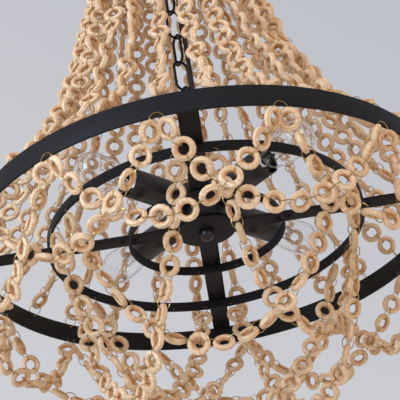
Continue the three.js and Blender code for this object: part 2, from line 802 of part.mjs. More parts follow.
// A quarter of the hanging wire with its strands
function domeStrands(n) {
  const perNode = domeStrandCount / domeNodeCount;
  const radius = crownRadius - hookInset;
  const end = seatGap / radius;
  const points = [];
  for (let i = 0; i <= 2 * perNode; i += 1) {
    const turn = (n * perNode - 1 + i / 2) * domeStep;
    const inset = i === 0 ? end : 0;
    const outset = i === 2 * perNode ? end : 0;
    points.push(outward(turn + inset - outset).multiplyScalar(radius).setZ(crownBarZ - seatGap - hangerRadius));
  }
  const wire = tube(points, hangerRadius, 2 * perNode, rough);
  const strands = [];
  for (let i = 0; i < perNode; i += 1) strands.push(domeStrand(n * perNode + i));
  return join(wire, ...strands);
}

// Stops of a strand slung between two points of a ring. It gives way inwards where the one
// before it crosses, and outwards where the next one does.
function swagStops(start, end, sag, inwards, outwards) {
  const chord = end.clone().sub(start);
  const span = chord.length();
  const length = saggedLength(span, sag);
  const curve = hangingCurve(0, 0, span, 0, length);
  chord.normalize();
  const side = new THREE.Vector3(chord.y, -chord.x, 0);
  const place = (share) => {
    const [x, z] = curve(share * length);
    const give = (2 * x < span ? -inwards : outwards) * Math.sin((2 * Math.PI * x) / span) ** 2;
    return start.clone().addScaledVector(chord, x).addScaledVector(side, give).setZ(start.z + z);
  };
  return strandStops(place, side, length);
}

// Every second outer swag: they share hooks end to end, so they make one closed garland
function outerGarland(first) {
  const step = (2 * Math.PI) / swagCount;
  const radius = outerRadius - hookInset;
  const z = strapZ + outerRise - outerHeight - seatGap - linkRadius;
  const spread = swagEndSpread / radius;
  const stops = [];
  for (let i = first; i < swagCount; i += swagReach) {
    const turn = (i - 0.25) * step;
    const hook = outward(turn).multiplyScalar(radius).setZ(z);
    const along = outward(turn + Math.PI / 2);
    const start = outward(turn + spread).multiplyScalar(radius).setZ(z);
    const end = outward(turn + swagReach * step - spread).multiplyScalar(radius).setZ(z);
    stops.push({ point: hook, along, side: outward(turn), radius: linkRadius });
    stops.push(...swagStops(start, end, swagSag, swagWeave, swagWeave));
  }
  return strand(stops, true);
}

function middleSwag(i) {
  const step = (2 * Math.PI) / middleSwagCount;
  const offset = THREE.MathUtils.degToRad(middleHookOffset);
  const radius = middleRadius - hookInset;
  const edge = strapZ - seatGap - middleHeight - seatGap;
  const z = edge - hookLength;
  const start = outward(i * step + offset).multiplyScalar(radius).setZ(z);
  const end = outward((i + 2) * step - offset).multiplyScalar(radius).setZ(z);
  const kinds = middleSagShares.length;
  const sag = middleRadius * middleSagShares[i % kinds];
  const inwards = swagWeave * middleWeaveShares[(i + kinds - 1) % kinds];
  const outwards = swagWeave * middleWeaveShares[i % kinds];
  const stops = swagStops(start, end, sag, inwards, outwards);
  const side = stops[0].side;
  const [top] = hookStops(start.clone().setZ(edge), -1, side);
  const [, last] = hookStops(end.clone(), 1, side);
  return strand([top, ...stops, last]);
}

// Fixed ceiling pieces, canopy and collar
const upperTurn = THREE.MathUtils.degToRad(ceilingLinkTurn);
const tubeTop = -bracketThickness - seatGap;
piece('ceiling_bracket', 'steel', bracket());
piece('bracket_tube', 'steel', band(tubeBore, tubeRadius, tubeTop - nippleLength, tubeTop - seatGap, coarse));
piece('canopy_loop', 'black', canopyLoop(upperTurn + Math.PI / 2));
piece('canopy_wire_connectors', 'plastic', canopyConnectors());
piece('canopy', 'black', canopy());
piece('cord_grommet', 'cord', grommet());
const collarInner = loopBodyRadius + boreGap;
const collarTop = canopyFloor - seatGap;
const collar = band(collarInner, collarInner + collarWall, collarTop - collarHeight, collarTop, medium);
piece('canopy_collar', 'black', collar);

// Chain from the ceiling to the crown
piece('ceiling_link_upper', 'black', closed(chainLink(upperLinkZ, linkHalf, upperTurn)));
piece('ceiling_link_lower', 'black', closed(chainLink(lowerLinkZ, linkHalf, upperTurn + Math.PI / 2)));

// Crown
const hubHole = tubeRadius + boreGap;
piece('crown_top_loop', 'black', crownTopLoop());
piece('crown_ring', 'black', band(crownRadius - crownWall, crownRadius, crownBarZ, crownBarZ + crownHeight, smooth));
const crownBarLength = strapLength(crownRadius - crownWall, crownBarWidth);
piece('crown_bar_x', 'black', lappedStrap(crownBarLength, crownBarWidth, crownBarZ, true));
const crownBarY = lappedStrap(crownBarLength, crownBarWidth, crownBarZ, false).rotateZ(Math.PI / 2);
piece('crown_bar_y', 'black', crownBarY);
piece('crown_bottom_loop', 'black', crownBottomLoop());
piece('inner_chain', 'black', innerChain());

// Hub
piece('hub_top_loop', 'black', hubTopLoop());
piece('hub_body', 'black', hubBody());
const hubTubeBottom = hubPlateBottom - seatGap - finialBore;
piece('hub_tube', 'steel', band(tubeBore, tubeRadius, hubTubeBottom, hubTop, coarse));
piece('hub_plate', 'black', band(hubHole, hubPlateRadius, hubPlateBottom, hubPlateTop, medium));
piece('finial_ball', 'black', finialBall());
piece('cord_bushing', 'cord', cordBushing());
piece('hub_wiring', 'plastic', hubWiring());
piece('power_cord', 'cord', powerCord());

// Rings and straps
const outerTop = strapZ + outerRise;
const ringTop = strapZ - seatGap;
piece('outer_ring', 'black', band(outerRadius - outerWall, outerRadius, outerTop - outerHeight, outerTop, fine));
piece('middle_ring', 'black', band(middleRadius - innerWall, middleRadius, ringTop - middleHeight, ringTop, smooth));
piece('hub_ring', 'black', band(hubRingRadius - innerWall, hubRingRadius, ringTop - hubRingHeight, ringTop, smooth));
const strapSpan = strapLength(outerRadius - outerWall, strapWidth);
const carried = [middleRadius, hubRingRadius];
piece('strap_x', 'black', lappedStrap(strapSpan, strapWidth, strapZ, true, carried));
const strapY = lappedStrap(strapSpan, strapWidth, strapZ, false, carried).rotateZ(Math.PI / 2);
piece('strap_y', 'black', strapY);

// Lamps
for (let i = 0; i < lampCount; i += 1) {
  piece(`socket_cup_${i + 1}`, 'black', alongLamp(socketCup(), i));
  piece(`socket_tube_${i + 1}`, 'steel', alongLamp(socketTube(), i));
  piece(`lampholder_${i + 1}`, 'phenolic', alongLamp(lampholder(), i));
  piece(`bulb_cap_${i + 1}`, 'brass', alongLamp(bulbCap(), i));
  piece(`bulb_glass_${i + 1}`, 'glass', alongLamp(bulbGlass(), i));
}

// Strands
for (let n = 0; n < domeNodeCount; n += 1) piece(`dome_strands_${n + 1}`, 'wood', domeStrands(n));
piece('outer_garland_even', 'wood', outerGarland(0));
piece('outer_garland_odd', 'wood', outerGarland(1));
for (let i = 0; i < middleSwagCount; i += 1) piece(`middle_swag_${i + 1}`, 'wood', middleSwag(i));

export default chandelier;
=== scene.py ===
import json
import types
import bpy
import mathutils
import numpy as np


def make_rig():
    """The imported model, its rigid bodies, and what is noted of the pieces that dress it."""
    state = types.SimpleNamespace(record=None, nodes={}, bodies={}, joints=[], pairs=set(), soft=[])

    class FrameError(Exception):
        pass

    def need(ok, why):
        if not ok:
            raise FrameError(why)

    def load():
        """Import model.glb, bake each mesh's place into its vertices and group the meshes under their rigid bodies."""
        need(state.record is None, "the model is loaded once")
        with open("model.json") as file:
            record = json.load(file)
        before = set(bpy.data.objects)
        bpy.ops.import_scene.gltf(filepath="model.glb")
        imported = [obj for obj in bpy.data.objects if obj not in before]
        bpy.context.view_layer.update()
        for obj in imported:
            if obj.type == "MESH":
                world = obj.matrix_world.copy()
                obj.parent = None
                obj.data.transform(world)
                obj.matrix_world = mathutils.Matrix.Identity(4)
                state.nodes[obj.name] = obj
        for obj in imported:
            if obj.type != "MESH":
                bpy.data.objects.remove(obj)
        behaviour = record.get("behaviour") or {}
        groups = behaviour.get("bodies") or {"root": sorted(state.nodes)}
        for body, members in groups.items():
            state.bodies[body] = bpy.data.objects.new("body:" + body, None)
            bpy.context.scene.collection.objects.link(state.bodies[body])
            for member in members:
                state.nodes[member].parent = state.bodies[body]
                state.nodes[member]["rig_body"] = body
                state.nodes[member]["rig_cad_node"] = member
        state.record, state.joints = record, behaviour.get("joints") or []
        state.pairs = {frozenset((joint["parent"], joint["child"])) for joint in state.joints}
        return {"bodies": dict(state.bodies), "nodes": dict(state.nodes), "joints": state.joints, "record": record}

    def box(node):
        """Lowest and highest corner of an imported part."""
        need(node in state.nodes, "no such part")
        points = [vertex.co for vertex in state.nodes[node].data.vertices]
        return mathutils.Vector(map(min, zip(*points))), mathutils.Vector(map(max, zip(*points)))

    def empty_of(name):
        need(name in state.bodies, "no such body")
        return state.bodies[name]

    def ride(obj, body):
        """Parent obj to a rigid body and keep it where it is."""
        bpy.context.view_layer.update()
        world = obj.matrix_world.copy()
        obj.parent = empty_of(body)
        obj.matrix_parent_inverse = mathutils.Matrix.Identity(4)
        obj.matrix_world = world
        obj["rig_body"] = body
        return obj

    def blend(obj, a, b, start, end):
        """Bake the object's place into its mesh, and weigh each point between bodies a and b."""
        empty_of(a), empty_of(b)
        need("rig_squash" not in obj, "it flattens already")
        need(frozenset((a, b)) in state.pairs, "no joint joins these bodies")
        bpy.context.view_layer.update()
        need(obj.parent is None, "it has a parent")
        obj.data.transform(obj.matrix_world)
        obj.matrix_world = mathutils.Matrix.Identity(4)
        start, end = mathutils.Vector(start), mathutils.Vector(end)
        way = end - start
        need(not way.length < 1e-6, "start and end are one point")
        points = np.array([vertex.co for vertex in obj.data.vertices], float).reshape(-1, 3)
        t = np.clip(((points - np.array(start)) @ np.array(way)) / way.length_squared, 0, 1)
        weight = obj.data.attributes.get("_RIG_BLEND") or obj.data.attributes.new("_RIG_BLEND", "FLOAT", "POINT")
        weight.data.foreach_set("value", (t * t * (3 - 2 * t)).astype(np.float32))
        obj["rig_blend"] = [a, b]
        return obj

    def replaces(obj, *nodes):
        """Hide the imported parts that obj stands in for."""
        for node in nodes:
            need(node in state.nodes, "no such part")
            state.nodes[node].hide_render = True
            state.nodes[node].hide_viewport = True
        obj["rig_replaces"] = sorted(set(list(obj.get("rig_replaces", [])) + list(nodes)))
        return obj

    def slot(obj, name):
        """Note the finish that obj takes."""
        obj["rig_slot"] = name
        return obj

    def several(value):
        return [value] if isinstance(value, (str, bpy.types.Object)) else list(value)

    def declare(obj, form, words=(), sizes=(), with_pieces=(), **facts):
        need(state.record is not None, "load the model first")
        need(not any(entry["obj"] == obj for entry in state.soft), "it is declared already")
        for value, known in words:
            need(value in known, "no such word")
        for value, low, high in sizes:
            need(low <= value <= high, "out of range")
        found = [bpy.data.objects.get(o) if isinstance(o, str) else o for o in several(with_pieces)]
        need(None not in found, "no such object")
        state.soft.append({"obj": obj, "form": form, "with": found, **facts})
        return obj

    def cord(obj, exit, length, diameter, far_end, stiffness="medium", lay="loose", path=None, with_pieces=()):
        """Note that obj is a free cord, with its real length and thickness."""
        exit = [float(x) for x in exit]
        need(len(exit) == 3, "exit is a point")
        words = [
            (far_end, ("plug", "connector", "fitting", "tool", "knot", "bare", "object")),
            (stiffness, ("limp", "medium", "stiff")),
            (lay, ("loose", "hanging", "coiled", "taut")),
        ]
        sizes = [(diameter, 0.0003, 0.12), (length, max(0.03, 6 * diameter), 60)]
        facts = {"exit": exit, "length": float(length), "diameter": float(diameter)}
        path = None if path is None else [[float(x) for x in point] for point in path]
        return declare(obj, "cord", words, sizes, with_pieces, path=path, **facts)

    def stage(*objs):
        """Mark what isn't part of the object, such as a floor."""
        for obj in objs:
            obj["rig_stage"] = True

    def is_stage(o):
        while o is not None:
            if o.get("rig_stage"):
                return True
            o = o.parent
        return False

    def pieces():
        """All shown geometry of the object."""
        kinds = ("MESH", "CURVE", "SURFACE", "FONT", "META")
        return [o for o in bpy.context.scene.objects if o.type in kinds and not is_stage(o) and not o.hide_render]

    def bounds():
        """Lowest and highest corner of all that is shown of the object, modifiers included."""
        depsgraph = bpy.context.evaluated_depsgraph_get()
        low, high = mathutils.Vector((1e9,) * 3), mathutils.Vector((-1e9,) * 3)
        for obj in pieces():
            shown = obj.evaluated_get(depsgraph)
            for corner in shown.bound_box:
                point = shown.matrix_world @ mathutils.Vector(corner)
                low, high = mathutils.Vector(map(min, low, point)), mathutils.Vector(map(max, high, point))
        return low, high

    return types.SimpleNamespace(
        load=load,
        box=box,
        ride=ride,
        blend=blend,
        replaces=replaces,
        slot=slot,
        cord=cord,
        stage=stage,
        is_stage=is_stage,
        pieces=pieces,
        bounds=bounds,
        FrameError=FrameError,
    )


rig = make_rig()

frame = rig.load()

import json
import math
import random
from collections import namedtuple

import bmesh
import bpy
from bpy.props import FloatProperty, FloatVectorProperty, IntProperty, PointerProperty
from mathutils import Matrix, Vector

bl_info = {
    "name": "Beaded chandelier",
    "version": (1, 0, 0),
    "blender": (4, 5, 0),
    "location": "View3D > Sidebar > Chandelier",
    "description": "Dresses a chandelier's frame with linked wooden rings, black metalwork and clear bulbs",
    "category": "Add Mesh",
}

CAD_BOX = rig.bounds()
SIZE_FILE = "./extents.json"

# Bodies that the pieces ride on
CEILING = "ceiling_mount"
SHELL = "canopy_shell"
COLLAR = "collar"
UPPER_LINK = "upper_link"
PENDANT = "pendant"

# Axis of the object
UP = Vector((0, 0, 1))

# Outer radius, lower edge and upper edge of a round part
Band = namedtuple("Band", "radius low top")


def band_of(node):
    """The band that a round node of the frame fills"""
    low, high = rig.box(node)
    return Band(max(high.x, high.y), low.z, high.z)


OUTER = band_of("outer_ring")
MIDDLE = band_of("middle_ring")
HUB_RING = band_of("hub_ring")
CROWN = band_of("crown_ring")
HUB = band_of("hub_body")
PLATE = band_of("hub_plate")
CANOPY = band_of("canopy")
COLLAR_RING = band_of("canopy_collar")
STRAP_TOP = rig.box("strap_x")[1].z
STRAP_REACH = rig.box("strap_x")[1].x
CROWN_BAR_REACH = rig.box("crown_bar_x")[1].x

# Shares of a step that the first dome strand and the first hook stand short of the front
DOME_PHASE = 0.5
HOOK_PHASE = 0.25

# Height of the holes in the narrow rings, as a share of that in the outer ring
NARROW_HOLE = 0.8


def length(name, description, default):
    return FloatProperty(name=name, description=description, default=default, unit="LENGTH", precision=5)


def angle(name, description, default):
    return FloatProperty(name=name, description=description, default=default, subtype="ANGLE", precision=5)


def colour(name, description, default):
    return FloatVectorProperty(
        name=name, description=description, default=default, subtype="COLOR", size=3, min=0, max=1
    )


def count(name, description, default):
    return IntProperty(name=name, description=description, default=default, min=1)


def share(name, description, default):
    return FloatProperty(name=name, description=description, default=default, subtype="FACTOR")


def number(name, description, default):
    return FloatProperty(name=name, description=description, default=default)


def spot(name, description, default):
    """A place seen from above"""
    return FloatVectorProperty(name=name, description=description, default=default, size=2)


class BeadSettings(bpy.types.PropertyGroup):
    """Wooden rings and the wire loops that link them"""

    ring_diameter: length("Ring diameter", "Across the outside of a wooden ring", 0.0272)
    ring_stock: length("Ring stock", "Thickness of a wooden ring", 0.0074)
    ring_pitch: length("Ring pitch", "From one wooden ring to the next", 0.0276)
    size_spread: share("Size spread", "How much the rings vary in size", 0.035)
    loop_width: length("Loop width", "Across a wire loop", 0.0152)
    wire_diameter: length("Wire diameter", "Thickness of the wire", 0.0011)
    least_turn: angle("Least turn", "Least turn between one ring and the next", math.radians(15))
    most_turn: angle("Most turn", "Most turn between one ring and the next", math.radians(80))
    loop_turn: angle("Loop turn", "How far a wire loop leans either way", math.radians(24))
    hook_lean: angle("Hook lean", "Slant of an end loop to the wall that it goes through", math.radians(34))
    wood_light: colour("Light wood", "Palest wood", (0.93, 0.815, 0.665))
    wood_dark: colour("Dark wood", "Darkest wood", (0.55, 0.37, 0.225))
    # Painted shade: colour that darkens the inside of each ring's hole, standing in for the shade there
    painted_hole_shade: colour("Drilled wood", "Wood inside the holes, scorched by the drill", (0.52, 0.25, 0.09))
    wire_colour: colour("Wire", "Gold coloured wire", (0.56, 0.37, 0.13))


class StrandSettings(bpy.types.PropertyGroup):
    """How the strands hang, as in the frame"""

    dome_strands: count("Dome strands", "Strands from the outer ring to the crown", 28)
    dome_groups: count("Dome groups", "Pieces that the dome is split in", 4)
    dome_slack: number("Dome slack", "Length of a dome strand over its straight distance", 1.025)
    swags: count("Swags", "Strands slung round the outer ring", 14)
    swag_reach: count("Swag reach", "Hooks from one end of a swag to the other", 2)
    swag_sag: length("Swag sag", "Depth of an outer swag", 0.102)
    swag_spread: length("Swag spread", "From a hook to the start of a strand", 0.003)
    hook_spread: length("Hook spread", "From the middle of a hook to the loop of either strand", 0.0032)
    swag_weave: length("Swag weave", "How far a strand gives way where two cross", 0.0082)
    middle_swags: count("Middle swags", "Strands slung round the middle ring", 6)
    hook_offset: angle("Hook offset", "Either side of each sixth of the middle ring", math.radians(6))
    hook_inset: length("Hook inset", "From a ring's outer face to its hooks", 0.0015)
    hook_length: length("Hook length", "Upright end of a strand", 0.003)
    foot_length: length("Foot length", "Wire of the lowest loop over the outer ring's edge", 0.0052)
    seat_gap: length("Seat gap", "Between faces that rest on each other", 0.0003)
    hanger_radius: length("Hanger radius", "Of the round wire under the crown", 0.002)
    top_hole: length("Top hole", "From the outer ring's top edge to its holes", 0.0034)
    low_hole: length("Low hole", "From a ring's lower edge to its holes", 0.0048)
    hole_radius: length("Hole radius", "Of the strands' holes", 0.00115)


class MetalSettings(bpy.types.PropertyGroup):
    """Black metalwork"""

    wall: length("Wall", "Thickness of the rings", 0.003)
    edge: length("Edge", "Rounding of the rings' and straps' edges", 0.0005)
    strap_width: length("Strap width", "Across a strap", 0.024)
    crown_bar_width: length("Crown bar width", "Across a crown bar", 0.02)
    strap_thickness: length("Strap thickness", "Of straps and crown bars", 0.0027)
    weld_radius: length("Weld radius", "Of the domes under the straps", 0.003)
    weld_height: length("Weld height", "Of the domes under the straps", 0.002)
    weld_offset: length("Weld offset", "From a ring's wall to a weld dome", 0.007)
    tube_radius: length("Tube radius", "Of the threaded tubes", 0.005)
    link_width: length("Link width", "Across a chain link", 0.024)
    link_wire: length("Link wire", "Radius of a chain link's wire", 0.0019)
    link_pitch: length("Link pitch", "From one chain link to the next", 0.0444)
    big_eye: length("Big eye", "Radius of the large wire eyes", 0.009)
    small_eye: length("Small eye", "Radius of the small wire eyes", 0.006)
    chain_turn: angle("Chain turn", "Plane of the upper chain link", math.radians(30))
    coat: colour("Coat", "Black powder coat", (0.0078, 0.0077, 0.0108))


class LampSettings(bpy.types.PropertyGroup):
    """Sockets and bulbs, measured along a lamp's axis from the middle of the hub"""

    lamps: count("Lamps", "Sockets round the hub", 4)
    lamp_turn: angle("Lamp turn", "From the straps to the first lamp", math.radians(45))
    lamp_rise: length("Lamp rise", "Lamp axis above the straps' underside", 0.034)
    cup_rear: length("Cup rear", "Closed end of a socket cup", 0.038)
    cup_mouth: length("Cup mouth", "Open end of a socket cup", 0.122)
    cup_radius: length("Cup radius", "Of a socket cup", 0.0185)
    cup_wall: length("Cup wall", "Of a socket cup", 0.0015)
    holder_rear: length("Holder rear", "Back of the lampholder", 0.058)
    holder_mouth: length("Holder mouth", "Front of the lampholder", 0.112)
    holder_radius: length("Holder radius", "Of the lampholder", 0.0155)
    cavity_radius: length("Cavity radius", "Inside the lampholder", 0.0138)
    cavity_depth: length("Cavity depth", "Inside the lampholder", 0.028)
    cap_radius: length("Cap radius", "Over the screw cap's threads", 0.0131)
    cap_length: length("Cap length", "Of the screw cap", 0.0284)
    thread_pitch: length("Thread pitch", "Of the screw cap", 0.0036)
    neck_radius: length("Neck radius", "Of the glass at the cap", 0.0132)
    bulb_radius: length("Bulb radius", "Of the glass ball", 0.0225)
    bulb_tip: length("Bulb tip", "Far end of the glass", 0.198)
    bulb_wall: length("Bulb wall", "Thickness of the glass", 0.0009)
    stem_length: length("Stem length", "Of the glass mount", 0.036)
    cage_radius: length("Cage radius", "Of the filament cage", 0.0085)
    cage_legs: count("Cage legs", "Legs of the filament", 10)


class CordSettings(bpy.types.PropertyGroup):
    """Power cord beside the chain"""

    radius: length("Radius", "Of the cord", 0.0032)
    beside_chain: spot("Beside chain", "Place beside the chain", (0.0116, -0.0031))
    at_crown: spot("At crown", "Place between the crown bars", (0.0145, -0.0145))
    at_canopy: spot("At canopy", "Place in the canopy", (0.02, -0.02))
    in_hub: length("In hub", "End below the hub's top", 0.008)
    in_canopy: length("In canopy", "End above the canopy's underside", 0.006)
    colour: colour("Colour", "Of the sheath", (0.011, 0.011, 0.012))


class StageSettings(bpy.types.PropertyGroup):
    """Camera, light and floor"""

    distance: length("Distance", "From the middle of the rings to the camera", 1.69771)
    drop: angle("Drop", "How far the camera looks up", 0.5161007)
    roll: angle("Roll", "Tilt of the picture", -0.1572083)
    aim_right: angle("Aim right", "Aim to the right of the rings' middle", -0.0011692)
    aim_up: angle("Aim up", "Aim above the rings' middle", 0.0221457)
    lens: number("Lens", "Focal length in millimetres", 121.1157)
    floor_height: length("Floor height", "Floor below the ceiling", -4.2)
    floor_size: length("Floor size", "Side of the floor", 9.0)
    sky_high: colour("Upper background", "Pale wall, upper right", (0.52, 0.532, 0.577))
    sky_low: colour("Lower background", "Pale wall, lower left", (0.63, 0.638, 0.672))
    ambient_colour: colour("Ambient colour", "Light from all round", (1.0, 0.71, 0.47))
    ambient: number("Ambient", "Strength of the light from all round", 0.86)
    key_colour: colour("Key colour", "Soft light on the left", (0.62, 0.84, 1.0))
    key_power: number("Key power", "Watts of the soft light on the left", 31.5)
    key_size: length("Key size", "Across the soft light on the left", 1.5)
    fill_colour: colour("Fill colour", "Soft light on the right", (0.95, 0.97, 1.0))
    fill_power: number("Fill power", "Watts of the soft light on the right", 5)
    fill_size: length("Fill size", "Across the soft light on the right", 1.2)


def beads():
    return bpy.context.scene.chandelier_beads


def strands():
    return bpy.context.scene.chandelier_strands


def metal():
    return bpy.context.scene.chandelier_metal


def lamp():
    return bpy.context.scene.chandelier_lamp


def cord_settings():
    return bpy.context.scene.chandelier_cord


def stage_settings():
    return bpy.context.scene.chandelier_stage


# Shader helpers

NOISE_DETAIL = 3.0
FINE_DETAIL = 2.0
NOISE_ROUGHNESS = 0.55
CLOUD_RANGE = (0.35, 0.68)
STREAK_SCALE = (26, 330, 330)
STREAK_RANGE = (0.32, 0.7)
PORE_SCALE = (150, 1900, 1900)
PORE_RANGE = (0.52, 0.75)
FINE_BUMP = 0.0001


def add(tree, kind, label="", **values):
    """A node with some of its properties set"""
    made = tree.nodes.new(kind)
    made.label = label
    for key, value in values.items():
        setattr(made, key, value)
    return made


def connect(tree, source, target):
    tree.links.new(source, target)


def effect(name, inputs, outputs):
    """A shader node group with its inputs and outputs, and the nodes at its two ends"""
    tree = bpy.data.node_groups.new(name, "ShaderNodeTree")
    for label, kind, default in inputs:
        socket = tree.interface.new_socket(name=label, in_out="INPUT", socket_type=kind)
        if default is not None:
            socket.default_value = default
    for label, kind in outputs:
        tree.interface.new_socket(name=label, in_out="OUTPUT", socket_type=kind)
    return tree, add(tree, "NodeGroupInput"), add(tree, "NodeGroupOutput")


def noise(tree, vector, scale, detail=NOISE_DETAIL):
    made = add(tree, "ShaderNodeTexNoise")
    made.inputs["Detail"].default_value = detail
    made.inputs["Roughness"].default_value = NOISE_ROUGHNESS
    if isinstance(scale, (int, float)):
        made.inputs["Scale"].default_value = scale
    else:
        connect(tree, scale, made.inputs["Scale"])
    connect(tree, vector, made.inputs["Vector"])
    return made.outputs["Fac"]


def between(tree, value, before, after=(0.0, 1.0)):
    """Moves a value from one range to another, kept inside it"""
    made = add(tree, "ShaderNodeMapRange")
    for label, bound in zip(("From Min", "From Max", "To Min", "To Max"), (*before, *after)):
        made.inputs[label].default_value = bound
    connect(tree, value, made.inputs["Value"])
    return made.outputs["Result"]


def scaled(tree, value, factor):
    made = add(tree, "ShaderNodeMath", operation="MULTIPLY")
    connect(tree, value, made.inputs[0])
    made.inputs[1].default_value = factor
    return made.outputs[0]


def mixed(tree, factor, first, second):
    """A colour between two, which are sockets or plain colours"""
    made = add(tree, "ShaderNodeMix", data_type="RGBA")
    connect(tree, factor, made.inputs["Factor"])
    for socket, value in ((made.inputs[6], first), (made.inputs[7], second)):
        if isinstance(value, bpy.types.NodeSocket):
            connect(tree, value, socket)
        else:
            socket.default_value = (*value, 1)
    return made.outputs[2]


def mottling():
    """Mask and height of an uneven surface, coarse clouds under a fine grain"""
    found = bpy.data.node_groups.get("Mottling")
    if found:
        return found
    inputs = [
        ("Vector", "NodeSocketVector", None),
        ("Cloud scale", "NodeSocketFloat", 40.0),
        ("Grain scale", "NodeSocketFloat", 900.0),
        ("Low", "NodeSocketFloat", 0.4),
        ("High", "NodeSocketFloat", 0.6),
    ]
    outputs = [("Mask", "NodeSocketFloat"), ("Height", "NodeSocketFloat"), ("Roughness", "NodeSocketFloat")]
    tree, start, end = effect("Mottling", inputs, outputs)
    clouds = noise(tree, start.outputs["Vector"], start.outputs["Cloud scale"])
    grain = noise(tree, start.outputs["Vector"], start.outputs["Grain scale"], FINE_DETAIL)
    mask = between(tree, clouds, CLOUD_RANGE)
    rough = add(tree, "ShaderNodeMapRange")
    connect(tree, mask, rough.inputs["Value"])
    connect(tree, start.outputs["Low"], rough.inputs["To Min"])
    connect(tree, start.outputs["High"], rough.inputs["To Max"])
    connect(tree, mask, end.inputs["Mask"])
    connect(tree, grain, end.inputs["Height"])
    connect(tree, rough.outputs["Result"], end.inputs["Roughness"])
    return tree


def wood_grain():
    """Streaks and pores along the grain of one turned ring"""
    found = bpy.data.node_groups.get("Wood grain")
    if found:
        return found
    inputs = [("Vector", "NodeSocketVector", None), ("Fineness", "NodeSocketFloat", 1.0)]
    outputs = [("Streak", "NodeSocketFloat"), ("Pore", "NodeSocketFloat"), ("Height", "NodeSocketFloat")]
    tree, start, end = effect("Wood grain", inputs, outputs)
    broad = add(tree, "ShaderNodeMapping", "broad streaks")
    broad.inputs["Scale"].default_value = STREAK_SCALE
    fine = add(tree, "ShaderNodeMapping", "fine pores")
    fine.inputs["Scale"].default_value = PORE_SCALE
    for mapping in (broad, fine):
        connect(tree, start.outputs["Vector"], mapping.inputs["Vector"])
    streak = noise(tree, broad.outputs["Vector"], start.outputs["Fineness"])
    pore = noise(tree, fine.outputs["Vector"], start.outputs["Fineness"], FINE_DETAIL)
    connect(tree, between(tree, streak, STREAK_RANGE), end.inputs["Streak"])
    connect(tree, between(tree, pore, PORE_RANGE), end.inputs["Pore"])
    connect(tree, pore, end.inputs["Height"])
    return tree


def material(name, **plain):
    """A new material, its node tree and its shader, with the shader's plain values set"""
    made = bpy.data.materials.new(name)
    made.use_nodes = True
    tree = made.node_tree
    shader = next(n for n in tree.nodes if n.type == "BSDF_PRINCIPLED")
    for key, value in plain.items():
        shader.inputs[key.replace("_", " ")].default_value = value
    return made, tree, shader


def place_in_object(tree):
    return add(tree, "ShaderNodeTexCoord").outputs["Object"]


def bumped(tree, shader, height, strength, distance):
    bump = add(tree, "ShaderNodeBump")
    bump.inputs["Strength"].default_value = strength
    bump.inputs["Distance"].default_value = distance
    connect(tree, height, bump.inputs["Height"])
    connect(tree, bump.outputs["Normal"], shader.inputs["Normal"])


def mottled(name, tones, scales, rough, bump, depth=FINE_BUMP, **plain):
    """A material whose tone and roughness drift between two values under a fine grain"""
    found = bpy.data.materials.get(name)
    if found:
        return found
    made, tree, shader = material(name, **plain)
    surface = add(tree, "ShaderNodeGroup", node_tree=mottling())
    connect(tree, place_in_object(tree), surface.inputs["Vector"])
    surface.inputs["Cloud scale"].default_value, surface.inputs["Grain scale"].default_value = scales
    surface.inputs["Low"].default_value, surface.inputs["High"].default_value = rough
    connect(tree, mixed(tree, surface.outputs["Mask"], *tones), shader.inputs["Base Color"])
    connect(tree, surface.outputs["Roughness"], shader.inputs["Roughness"])
    bumped(tree, shader, surface.outputs["Height"], bump, depth)
    return made


def lighter(tone, factor):
    return tuple(min(1.0, channel * factor) for channel in tone)


def shades(tone, factor):
    """A tone and a lighter or darker one"""
    return tuple(tone), lighter(tone, factor)


# Finishes

def coat():
    """Black powder coat: satin, with a fine orange peel"""
    return mottled(
        "Black powder coat", shades(metal().coat, 1.35), scales=(22.0, 1500.0), rough=(0.5, 0.62), bump=0.1,
        Specular_IOR_Level=0.2,
    )


def enamel():
    """Smoother black of the turned and drawn parts"""
    return mottled(
        "Black enamel", shades(metal().coat, 1.25), scales=(30.0, 900.0), rough=(0.3, 0.4), bump=0.06,
        Specular_IOR_Level=0.55,
    )


def steel():
    return mottled(
        "Zinc plated steel", ((0.5, 0.51, 0.52), (0.62, 0.62, 0.6)), scales=(60.0, 1200.0),
        rough=(0.28, 0.42), bump=0.08, Metallic=1.0,
    )


def nickel():
    return mottled(
        "Nickel plated cap", ((0.4, 0.39, 0.37), (0.5, 0.49, 0.47)), scales=(90.0, 1500.0),
        rough=(0.24, 0.38), bump=0.05, Metallic=1.0,
    )


def shell_brass():
    return mottled(
        "Brass screw shell", ((0.7, 0.5, 0.2), (0.8, 0.6, 0.28)), scales=(80.0, 1300.0), rough=(0.24, 0.4),
        bump=0.05, Metallic=1.0,
    )


def phenolic():
    return mottled(
        "Moulded phenolic", ((0.012, 0.011, 0.011), (0.018, 0.016, 0.016)), scales=(70.0, 900.0),
        rough=(0.28, 0.4), bump=0.05,
    )


def sheath():
    return mottled(
        "Cord sheath", shades(cord_settings().colour, 1.5), scales=(120.0, 1400.0), rough=(0.42, 0.56),
        bump=0.12,
    )


def rubber():
    return mottled(
        "Moulded rubber", ((0.012, 0.012, 0.013), (0.02, 0.02, 0.021)), scales=(90.0, 1600.0),
        rough=(0.55, 0.7), bump=0.2,
    )


def plastic():
    return mottled(
        "Moulded orange plastic", ((0.56, 0.17, 0.04), (0.64, 0.22, 0.06)), scales=(70.0, 1200.0),
        rough=(0.35, 0.48), bump=0.08,
    )


def tungsten():
    return mottled(
        "Filament wire", ((0.06, 0.055, 0.05), (0.14, 0.12, 0.1)), scales=(300.0, 3000.0), rough=(0.3, 0.45),
        bump=0.05, Metallic=1.0,
    )


def gold():
    return mottled(
        "Gold coloured wire", shades(beads().wire_colour, 0.72), scales=(160.0, 2200.0), rough=(0.22, 0.4),
        bump=0.05, Metallic=1.0,
    )


